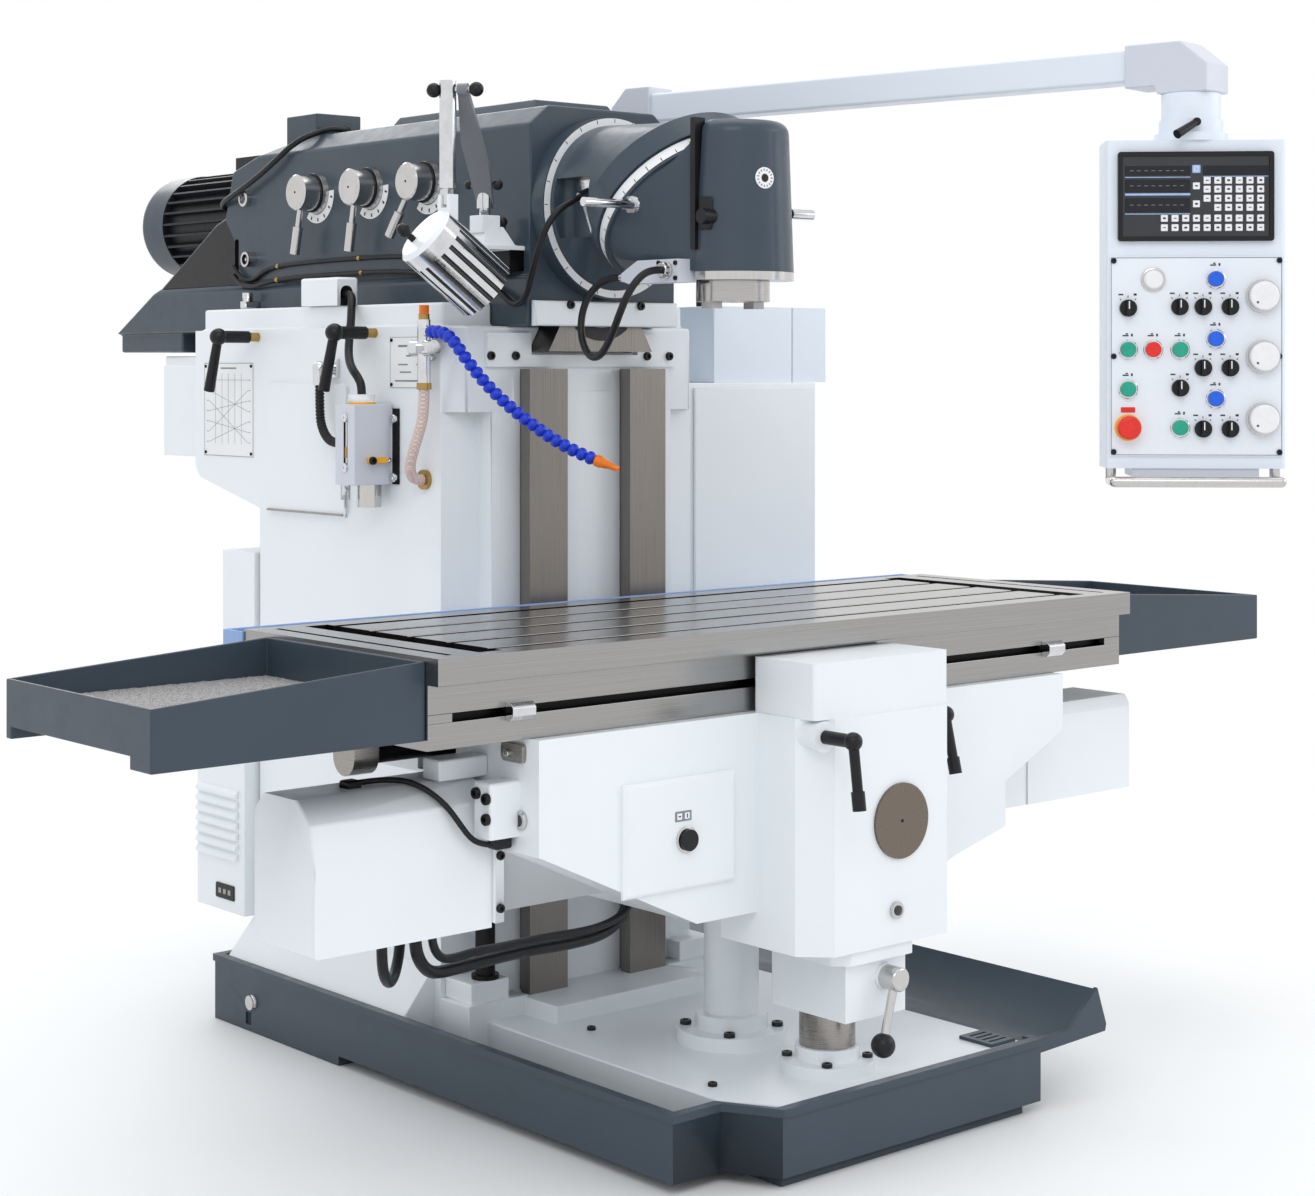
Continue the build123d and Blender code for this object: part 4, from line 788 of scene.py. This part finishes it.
cord("head_loop", "head_cable", 13, [
    (-140.5, -424, 1455), (-164, -424, 1454), (-186, -420, 1440), (-200, -409, 1414), (-203, -392, 1382),
    (-198, -368, 1350), (-188, -336, 1322), (-174, -300, 1306), (-160, -262, 1305), (-149, -230, 1320),
    (-142, -210, 1350), (-137, -207, 1384), (-131, -218, 1416), (-121, -238, 1438), (-112, -262, 1446),
    (-112, -287.8, 1446)])
cord("feed_hose_loop", "knee_hoses", 17, [
    (-798, -545, 429.8), (-798, -545, 402), (-789, -536.5, 375), (-770, -518.5, 356), (-748, -497.5, 349),
    (-726, -476.5, 356), (-707, -458.5, 375), (-698, -450, 402), (-698, -450, 429.8)])
cord("feed_hose_low", "knee_hoses", 20, [
    (-706, -500, 429.8), (-706, -500, 399.5), (-694.6, -495.7, 372), (-673.7, -487.9, 352),
    (-647, -477.9, 342.7), (-590, -456.5, 338), (-508, -427, 332), (-440, -402, 326), (-372, -377, 318),
    (-306, -352, 309), (-244, -329, 302), (-188, -308, 298), (-140, -291, 301), (-104, -278, 314),
    (-80, -269, 338), (-70, -265, 370), (-70, -265, 401.8)])
cord("feed_hose_high", "knee_hoses", 14, [
    (-676, -502, 429.8), (-676, -502, 410), (-669, -498.5, 388), (-652, -491, 370), (-626, -481, 361),
    (-552, -454, 358), (-484, -431, 350), (-416, -406, 344), (-348, -381, 336), (-282, -356, 327),
    (-220, -333, 320), (-164, -312, 318), (-118, -296, 324), (-86, -286, 342), (-70, -282, 372),
    (-70, -282, 401.8)])
cord("feed_lead", "knee_hoses", 9, [
    (-810.8, -500, 661), (-786, -504, 662), (-764, -520, 663), (-745, -544, 661), (-726, -567, 647),
    (-708, -587, 625), (-695, -600, 600), (-682, -608.5, 578), (-667, -614, 567), (-650.6, -617.4, 564)])
swivel_lead = [
    (-188, 43.8, 1440), (-188, 16, 1440), (-189, -12, 1434), (-191, -44, 1422), (-194, -86, 1397),
    (-197, -124, 1414), (-201, -144, 1452), (-204, -166, 1494), (-203, -182, 1528), (-194, -193, 1553),
    (-177, -199, 1572), (-157, -200.9, 1582), (-138.3, -202.8, 1591)]
lead = ribbed_tube("swivel_lead", None, "swivel_cable", swivel_lead, [(0, 6), (1, 6)], 16, RUBBER)
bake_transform(lead)
declare(swivel_lead, path=route_line(swivel_lead))
ribbed_route = [
    (-334, 340, 1254), (-334, 340, 1200), (-336, 330, 1175), (-338, 311, 1156), (-340, 286, 1146),
    (-340, 261, 1146)]
rib = [(0, 7.6), (0.1, 7.7), (0.3, 9), (0.7, 9), (0.9, 7.7), (1, 7.6)]
ribbed = ribbed_tube("ribbed_conduit", "frame", "column_conduits", ribbed_route, rib, 24, RUBBER)
declare(ribbed_route, path=route_line(ribbed_route))
nozzle_route = [
    (-324, -4, 1352), (-324, -30, 1352), (-324, -56, 1347), (-322, -78, 1332), (-314, -94, 1308),
    (-300, -108, 1282), (-284, -126, 1254), (-266, -148, 1227), (-247, -172, 1202), (-228, -198, 1179),
    (-208, -227, 1157), (-186, -256, 1138), (-168, -282, 1126)]
bead = [(0, 6.5), (0.12, 9.8), (0.3, 11.7), (0.5, 12), (0.7, 11.4), (0.86, 9), (0.94, 6.5), (1, 6.5)]
ribbed_tube("segment_hose", "frame", "nozzle_hose", nozzle_route, bead, 24, BLUE)
tip = Vector(nozzle_route[-1])
nozzle = lathe("nozzle_tip", "frame", tip, tip - Vector(nozzle_route[-2]),
               [(0, 8.5), (2, 10.5), (12, 10.5), (14, 9), (24, 7.5), (26, 6.2), (46, 4.5), (46, 3), (36, 3),
                (36, 0)], ORANGE)
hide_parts("nozzle_hose")
clip_ring = [(-4, 4.8), (-3, 5.8), (3, 5.8), (4, 4.8)]
for name, route, share in (("upper_clip_1", upper_conduit, 0.22), ("upper_clip_2", upper_conduit, 0.575),
                           ("lower_clip_1", lower_conduit, 0.22), ("lower_clip_2", lower_conduit, 0.585)):
    spot, direction = along_line(route_line(route), 201)[round(200 * share)]
    lathe(name, "ram", spot / MM, direction, clip_ring, BRASS, 24)


# Scales and plates

swivel_centre = Vector(joints["swivel_turn"]["pos_m"]) / MM
flange_seat = seat((0, swivel_centre.y - 34.5, swivel_centre.z), FRONT)
sector("swivel_scale", "swivel", flange_seat, 152, 165.5, 0, 360, 0.6, SCALE, 96)
marks("swivel_ticks", "swivel", flange_seat, radial_bars(164.5, range(0, 360, 15), 7, 1.4), PRINT, 0.6)

tilt_seat = seat(Vector(joints["head_tilt"]["pos_m"]) / MM, joints["head_tilt"]["axis"])
band_inner, band_outer, band_low, band_high = 168.3, 168.7, 3, 21
band = bmesh.new()
band_rings = [ring_of(band, tilt_seat, radius, height, 120)
              for radius, height in ((band_inner, band_low), (band_outer, band_low),
                                     (band_outer, band_high), (band_inner, band_high))]
for low_ring, high_ring in zip(band_rings, band_rings[1:] + band_rings[:1]):
    join_rings(band, low_ring, high_ring)
link_shape("tilt_scale", band, "head", SCALE)
tilt_ticks = bmesh.new()
for number in range(36):
    length = 11 if number % 3 == 0 else 7
    tick_seat = on_drum(tilt_seat, 10 * number, band_outer, band_high - 0.5 - length / 2)
    slab_into(tilt_ticks, tick_seat, length, 1.4, PRINT_DEPTH)
link_shape("tilt_ticks", tilt_ticks, "head", PRINT)

ram_side, hub_face = -170, -224
for number in (1, 2, 3):
    lever = f"speed_lever_{number}"
    _, y, z = Vector(joints[lever + "_turn"]["pos_m"]) / MM
    hub_seat = seat((ram_side - 0.2, y, z), LEFT)
    sector(f"speed_scale_{number}", "ram", hub_seat, 43, 60.5, -128, 4, 1, SCALE)
    dial_bars = radial_bars(57, (-112, -86, -60, -34, -10), 7, 4)
    marks(f"speed_marks_{number}", "ram", hub_seat, dial_bars, PRINT, 1)
    lathe(f"hub_dot_{number}", lever, (hub_face, y, z), LEFT, [(0, 2.6), (0.6, 2.2), (0.8, 0)], BLACK, 20)
    lathe(f"hub_ring_{number}", lever, (ram_side - 12.5, y, z), LEFT,
          [(0, 39.4), (2, 39.4), (3, 38.4), (3, 35.8)], OILED)

sight_ring = [(0, 17), (3, 17), (4.2, 15.5), (4.2, 11.2), (1, 10.8), (1, 0)]
lathe("ram_sight_ring", "ram", (-180, 868, 1643), LEFT, sight_ring, BRIGHT)
sight_glass = [(0, 10.8), (1.2, 10.4), (1.8, 6), (2, 0)]
lathe("ram_sight_glass", "ram", (-181, 868, 1643), LEFT, sight_glass, SCREEN)
lathe("oil_sight_glass", "ram", (-186, 846, 1514), LEFT, sight_glass, SCREEN)
lathe("oil_sight_core", "ram", (-188, 846, 1514), LEFT, [(0, 4), (1.2, 3.4), (1.6, 0)], BRIGHT, 24)

column_side = -300.2
name_y, name_z, chart_y, chart_z = 91.5, 1297, 727.5, 1202
name_seat = seat((column_side, name_y, name_z), LEFT)
slab("name_plate", "frame", name_seat, 123, 94, 1.2, SCALE, 3, 0.4)
name_bars = [(0, 30, 70, 4), (0, 12, 20, 3), (-20, -4, 30, 2.5), (30, -4, 16, 2), (-12, -18, 36, 2.5),
             (0, -34, 90, 3)]
marks("name_plate_bars", "frame", name_seat, name_bars + border(121.5, 92.5, 0.9), GREY_PRINT, 1.2)
chart_seat = seat((column_side, chart_y, chart_z), LEFT)
slab("chart_plate", "frame", chart_seat, 190, 190, 1.2, SCALE, 4, 0.4)
chart_bars = border(188, 188, 1.1)
for row in range(7):
    start, end = Vector((-75, 21 * row - 66)), Vector((75, 21 * ((row * 3 + 2) % 7) - 66))
    run = end - start
    chart_bars.append((*(start + end) / 2, run.length, 0.7, math.degrees(math.atan2(run.y, run.x))))
    chart_bars += [(start.x - 6, start.y, 6, 1.6), (end.x + 6, end.y, 6, 1.6)]
chart_bars += [(x, 2, 0.6, 142) for x in range(-50, 51, 25)]
chart_bars.append((0, 84, 60, 3))
marks("chart_lines", "frame", chart_seat, chart_bars, GREY_PRINT, 1.2)
rivets = [(column_side - 1, name_y + y, name_z + z) for y in (-56, 56) for z in (-41, 41)]
rivets += [(column_side - 1, chart_y + y, chart_z + z) for y in (-88, 88) for z in (-88, 88)]
screws("plate_rivets", "frame", rivets, LEFT, 3.2, OILED)


# Fastenings and small fittings

screws("front_plate_screws", "frame", [(x, -50, 1309) for x in (-222, -166, 150, 206)], FRONT, 8)
# Black arc sheet on the ram's front: painted shade standing for a recess at the way.
sector("way_recess_shade", "ram", seat((0, -96, 1435), FRONT), 74, 98, 230, 310, 0.8, PRINT)
screws("ram_plate_screws", "ram", [(x, -118, 1402) for x in (-92, 76)], FRONT, 8)
# Thin steel strip along the lower edge of the big side panel: it draws the line of shade under the panel's edge,
# painted shade.
slab("panel_shadow_strip", "frame", seat((-308, 431.5, 1007.5), LEFT), 266, 4, 5, TURNED, 0, 1)
for name, y, z, radius, head in (("lift_bolts", -452, 142, 80, 10), ("support_bolts", -688, 138, 67, 9)):
    reach = radius * math.sqrt(0.5)
    corners = ((reach, reach), (-reach, reach), (-reach, -reach), (reach, -reach))
    screws(name, "frame", [(across, y + along, z) for across, along in corners], UP, head)
base_screws = [(-213, -638, 118), (300, -450, 118), (-150, -250, 118), (150, -250, 118)]
screws("base_screws", "frame", base_screws, UP, 8)
screws("block_screws", "knee", [(-666, -607, 643), (-666, -632, 637), (-666, -632, 606)], LEFT, 9)
screws("housing_screws", "knee", [(-618, -600, z) for z in (460, 541)], FRONT, 7)
sight_rim = [(0, 15), (4, 15), (6, 13), (6, 9), (3.5, 8.5), (3.5, 0)]
lathe("knee_end_sight", "knee", (-610, -644, 600), LEFT, sight_rim, BRIGHT)
lathe("knee_end_glass", "knee", (-613.4, -644, 600), LEFT, [(0, 8.6), (0.8, 8.2), (1.2, 0)], SCREEN)
slab("wiper_lug", "knee", seat((-610, -628, 702), LEFT), 56, 30, 7, TURNED, 8, 1)
screws("wiper_screw", "knee", [(-617, -618, 700)], LEFT, 6, BRIGHT)
front_glass = [(0, 8.5), (2, 8.2), (3, 5.5), (3.6, 0)]
lathe("front_sight_glass", "knee", (24, -827.9, 401), FRONT, front_glass, SCREEN)
lathe("disc_centre", "knee", (35, -826.9, 546), FRONT, [(0, 3), (0.8, 2.6), (0.8, 0)], OILED, 20)
label_seat = seat((-330, -698, 580), FRONT)
slab("switch_label", "knee", label_seat, 34, 16, 0.8, GREY_PRINT, 1)
marks("switch_marks", "knee", label_seat, [(-8, 0, 10, 10), (8, 0, 10, 10)], SCALE, 0.8)
marks("switch_signs", "knee", label_seat, [(-8, 0, 5, 2), (8, 0, 2, 6)], PRINT, 1.1)
switch_collar = [(0, 21.5), (2, 21.5), (3, 20), (3, 18.5)]
lathe("switch_collar", "knee", (-323, -698, 542), FRONT, switch_collar, BRIGHT)
socket_seat = seat((-330, 690, 234), LEFT)
slab("cabinet_socket", "frame", socket_seat, 70, 30, 3, BLACK, 3, 0.8)
marks("cabinet_socket_pins", "frame", socket_seat, [(x, 0, 10, 10) for x in (-18, 0, 18)], TURNED, 3)
medal_place, medal_axis = (-16.9, -552.2, 1611.3), (-0.171, -0.985, 0.03)
medal = [(0, 18.5), (2.6, 18.5), (3.2, 17.7), (3.2, 0)]
lathe("head_medallion", "head", medal_place, medal_axis, medal, SCALE)
medal_bars = radial_bars(15.8, range(0, 360, 24), 3.6, 2.2)
marks("medallion_marks", "head", seat(medal_place, medal_axis), medal_bars, GREY_PRINT, 3.2)
medal_core = [(3.2, 7.2), (4, 6.8), (4, 3), (4.8, 2.4), (4.8, 0)]
lathe("medallion_core", "head", medal_place, medal_axis, medal_core, PRINT, 32)
slab("knob_plate", "head", seat((-95, -492, 1551), LEFT), 28, 56, 4, BLACK, 4, 1)
block_bolts = [(-124, y, z) for y, z in ((-446, 1467), (-446, 1441), (-402, 1468))]
screws("head_block_screws", "head", block_bolts, LEFT, 4.2)
gland_nut = [(0, 14.5), (4, 14.5), (5, 12.5), (7, 12.5), (8, 14), (14, 14), (15.5, 12.5), (15.5, 7.5)]
lathe("head_gland_nut", "head", (-124, -424, 1455), LEFT, gland_nut, BRIGHT, 12)
screws("tank_ear_screws", "frame", [(-306, 132, z) for z in (1085, 1193)], LEFT, 8.5, CHROME)
screws("tank_lever_screw", "frame", [(-357, 129, 1117)], FRONT, 7.5)
screws("tank_stop_screw", "frame", [(-314, 141, 1117)], FRONT, 5, CHROME)
gauge_end = [(0, 8.5), (3, 8.5), (4.5, 7), (4.5, 3), (3, 2.5), (3, 0)]
lathe("gauge_top", "frame", (-388, 171, 1196), LEFT, gauge_end, CHROME, 28)
lathe("gauge_foot", "frame", (-388, 171, 1104), LEFT, gauge_end, CHROME, 28)
lathe("gauge_tube", "frame", (-384.6, 171, 1104), UP, [(0, 2.6), (92, 2.6)], BRIGHT, 16)
lathe("gauge_float", "frame", (-385, 171, 1122), UP, [(0, 3.6), (20, 3.6)], BRASS, 16)
lathe("tank_cap_rim", "frame", (-352, 171, 1220), UP, [(0, 26.2), (3, 26.2), (4, 25.2)], YELLOW)
for side, x in (("left", -778), ("right", 778)):
    slab(f"slot_end_{side}", "table", seat((x, -653, 772), FRONT), 44, 12.8, 13, TABLE_STEEL)
# Black bars on the fan cover stand for its slots: painted shade of the openings.
marks("fan_slot_shade", "ram", seat((0, 1435, 1610), BACK), radial_bars(80, range(0, 360, 15), 44, 6), PRINT)


def grit_bed(name, x0, x1):
    """Shallow bed of chips in a tray, with its own uneven surface."""
    y0, y1, floor, rise, fine, grain = -653.5, -236.5, 797, 2.2, 84, 0.16
    shape = bmesh.new()
    rows = []
    for i in range(fine + 1):
        row = []
        for j in range(fine + 1):
            x, y = x0 + (x1 - x0) * i / fine, y0 + (y1 - y0) * j / fine
            edge = min(i, j, fine - i, fine - j) == 0
            height = 0 if edge else rise * (0.6 + 0.8 * noise.noise(Vector((x * grain, y * grain, 3))))
            row.append(shape.verts.new((x, y, floor + height)))
        rows.append(row)
    for i in range(fine):
        for j in range(fine):
            shape.faces.new((rows[i][j], rows[i + 1][j], rows[i + 1][j + 1], rows[i][j + 1]))
    link_shape(name, shape, "table", GRIT, smooth=180)


grit_bed("left_tray_grit", -1243.5, -806.5)
grit_bed("right_tray_grit", 806.5, 1243.5)


# Pendant details

panel_face, panel_middle = 60, 1306.5
panel = on_panel(0, panel_middle, panel_face)
screen_face, screen_middle = 61, 1580
display = on_panel(0, screen_middle, screen_face)
windows = bmesh.new()
for x, z, width, height in ((-64.7, 1620, 109, 16), (65.5, 1620, 108, 16), (-64.7, 1594.5, 109, 21),
                            (-64.7, 1562, 109, 24)):
    slab_into(windows, on_panel(x, z, screen_face), width, height, 1, 1, 0.4)
link_shape("readout_windows", windows, "pendant", FINS)
digit_bars = [(12 * place - 108, row - screen_middle, 6.2, 0.9)
              for row in (1620, 1594.5, 1562) for place in range(8)]
marks("readout_digits", "pendant", display, digit_bars, GREY_PRINT, 1)
glow_lines = [(-64.7, 29, 109, 1.2), (-64.7, 0, 109, 3.4), (-64.7, -33, 109, 1.4), (65.5, 30, 108, 1.2)]
marks("readout_lines", "pendant", display, glow_lines, GLOW_PRINT)
key_columns = [17.8 * column - 53.6 for column in range(10)]
key_rows = [(1603.2, 4), (1588.3, 4), (1572.9, 4), (1557.5, 5), (1539.5, 0), (1523.6, 0)]
key_spots = [(x, z) for z, first in key_rows for x in key_columns[first:]]
key_spots += [(key_columns[3], 1594), (key_columns[3], 1563.7)]
keys, legends = bmesh.new(), []
for number, (x, z) in enumerate(key_spots):
    slab_into(keys, on_panel(x, z, screen_face), 11.5, 11.5, 3, 1.2, 0.8)
    legends.append((x, z - screen_middle, 4.6, 1.4 + 0.8 * (number % 3)))
link_shape("display_keys", keys, "pendant", LIGHT)
marks("display_legends", "pendant", display, legends, PRINT, 3)
mode_seat = on_panel(key_columns[3], 1622.7, screen_face)
slab("display_mode_key", "pendant", mode_seat, 13.5, 13.5, 2, GLOW_PRINT, 1, 0.5)
marks("display_mode_sign", "pendant", mode_seat, border(6, 7, 1), SCALE, 2)

button_spots = [(32, 1437), (32, 1336), (32, 1235), (-114, 1318), (-27, 1318), (-114, 1251), (-27, 1186),
                (-72, 1318)]
selector_spots = [(-114, 1388), (-28, 1390), (11, 1390), (56, 1390), (11, 1287), (56, 1287), (-27, 1253),
                  (11, 1184), (56, 1184)]
bezel = [(0, 16.5), (2.2, 16.5), (3, 15.5), (3, 13.8)]
bezels, panel_marks, pointers = bmesh.new(), [], []
for x, z in selector_spots:
    rise = z - panel_middle
    pointers.append((x, rise + 5, 1.8, 13))
    rays = radial_bars(21.25, (50, 90, 130), 3.5, 1.2)
    panel_marks += [(x + across, rise + along, *bar) for across, along, *bar in rays]
    panel_marks += [(x - 12, rise + 23, 8, 2.4), (x + 12, rise + 23, 5, 3.6)]
for x, z in button_spots:
    rise = z - panel_middle
    lathe_into(bezels, on_panel(x, z, panel_face), bezel, 36)
    panel_marks += [(x - 4, rise + 23.5, 10, 2.2), (x - 2, rise + 26.5, 4, 2.2),
                    (x + 6.5, rise + 24.5, 3, 4.6)]
link_shape("button_bezels", bezels, "pendant", CHROME)
marks("selector_pointers", "pendant", panel, pointers, SCALE, 20)
marks("panel_marks", "pendant", panel, panel_marks, PRINT)
marks("panel_border", "pendant", panel, border(284, 333, 1.2), GREY_PRINT)
for number, z in enumerate((1408, 1306, 1201), 1):
    dial, ribs = f"override_dial_{number}", bmesh.new()
    for step in range(40):
        rib_seat = on_drum(on_panel(110, z, panel_face + 10.3), 9 * step, 23.8, 7)
        slab_into(ribs, rib_seat, 12, 1.6, 0.7, 0, 0.2)
    link_shape(f"dial_ribs_{number}", ribs, dial, LIGHT)
    dial_face = on_panel(110, z, panel_face + 26)
    marks(f"dial_pointer_{number}", dial, dial_face, [(-12, -11, 3.4, 3.4, 45)], PRINT)


def panel_spot(x, z):
    return on_panel(x, z, panel_face).translation


panel_corners = [panel_spot(x, z) for x in (-138, 138) for z in (1145, panel_middle, 1468)]
screws("panel_corner_screws", "pendant", panel_corners, -pendant_in, 4.8)
stop_collar = [(0, 22.5), (3, 22.5), (4, 21), (4, 12.5)]
lathe("stop_collar", "pendant", panel_spot(-114, 1186), -pendant_in, stop_collar, YELLOW)
slab("stop_plate", "pendant", on_panel(-114, 1216, panel_face), 24, 9, 0.8, RED, 1)
lamp_collar = [(0, 20.5), (2.5, 20.5), (3.5, 19), (3.5, 16.5)]
lathe("lamp_collar", "pendant", panel_spot(-72, 1436), -pendant_in, lamp_collar, BRIGHT)


# Floor, light and camera: the floor fades to plain white away from the machine

floor_mesh = bpy.data.meshes.new("floor")
floor_mesh.from_pydata([(x, y, 0) for y in (-30, 30) for x in (-30, 30)], [], [(0, 1, 3, 2)])
floor = link("floor", floor_mesh)
floor.location.z = -0.0005
stone = Finish("pale_floor", "floor", (0.88, 0.885, 0.89), 0.6)
floor_place = stone.place()
stone.vary(stone.noise(floor_place, 2), 0.01)
distance = stone.node("ShaderNodeVectorMath", Vector=floor_place)
distance.operation = "LENGTH"
away = stone.spread(distance.outputs["Value"], 0, 1, 1.3, 2.6)
path = stone.node("ShaderNodeLightPath").outputs
seen = stone.math("MAXIMUM", path["Is Camera Ray"], path["Is Glossy Ray"])
glow = stone.node("ShaderNodeEmission", Color=(1, 1, 1, 1), Strength=1.0)
stone.mix(stone.math("MULTIPLY", away, seen), stone.shader.outputs["BSDF"], glow.outputs["Emission"],
          "Material Output")
floor_mesh.materials.append(stone.material)

scene.world = bpy.data.worlds.new("studio")
scene.world.use_nodes = True
sky = Nodes(scene.world.node_tree)
studio = sky.tree.nodes["Background"]
sky.set(studio.inputs["Color"], (0.97, 0.985, 1.0, 1))
sky.set(studio.inputs["Strength"], 0.92)
backdrop = sky.node("ShaderNodeBackground", Color=(1, 1, 1, 1), Strength=1.0)
path = sky.node("ShaderNodeLightPath").outputs
seen = sky.math("MAXIMUM", path["Is Glossy Ray"], path["Is Transmission Ray"])
seen = sky.math("MAXIMUM", path["Is Camera Ray"], seen)
sky.mix(seen, studio.outputs["Background"], backdrop.outputs["Background"], "World Output")

machine_middle = Vector((0, 0, 0.9))
for name, place, width, power in (("key", (-3.4, -4.0, 4.6), 3.2, 60), ("fill", (4.2, -3.6, 3.0), 3.5, 40),
                                  ("top", (0.2, 0.2, 5.2), 4.0, 50), ("back", (1.5, 4.5, 3.6), 3.0, 45)):
    light = bpy.data.lights.new(name, "AREA")
    light.shape = "RECTANGLE"
    light.size = width
    light.size_y = 0.7 * width
    light.energy = power
    lamp = link(name, light)
    lamp.location = place
    lamp.rotation_euler = (machine_middle - Vector(place)).to_track_quat("-Z", "Y").to_euler()

photo_width, photo_height, photo_focal, photo_horizon = 1315, 1196, 2423.1, 366.7
camera_data = bpy.data.cameras.new("camera")
camera_data.sensor_fit = "HORIZONTAL"
camera_data.sensor_width = 36
camera_data.lens = camera_data.sensor_width * photo_focal / photo_width
camera_data.shift_y = (photo_horizon - photo_height / 2) / photo_width
camera = link("camera", camera_data)
camera.location = (-2.8638, -3.5616, 1.2890)
camera.rotation_euler = Vector((0.6547, 0.7559, 0)).to_track_quat("-Z", "Y").to_euler()
scene.camera = camera
scene.view_settings.view_transform = "Standard"
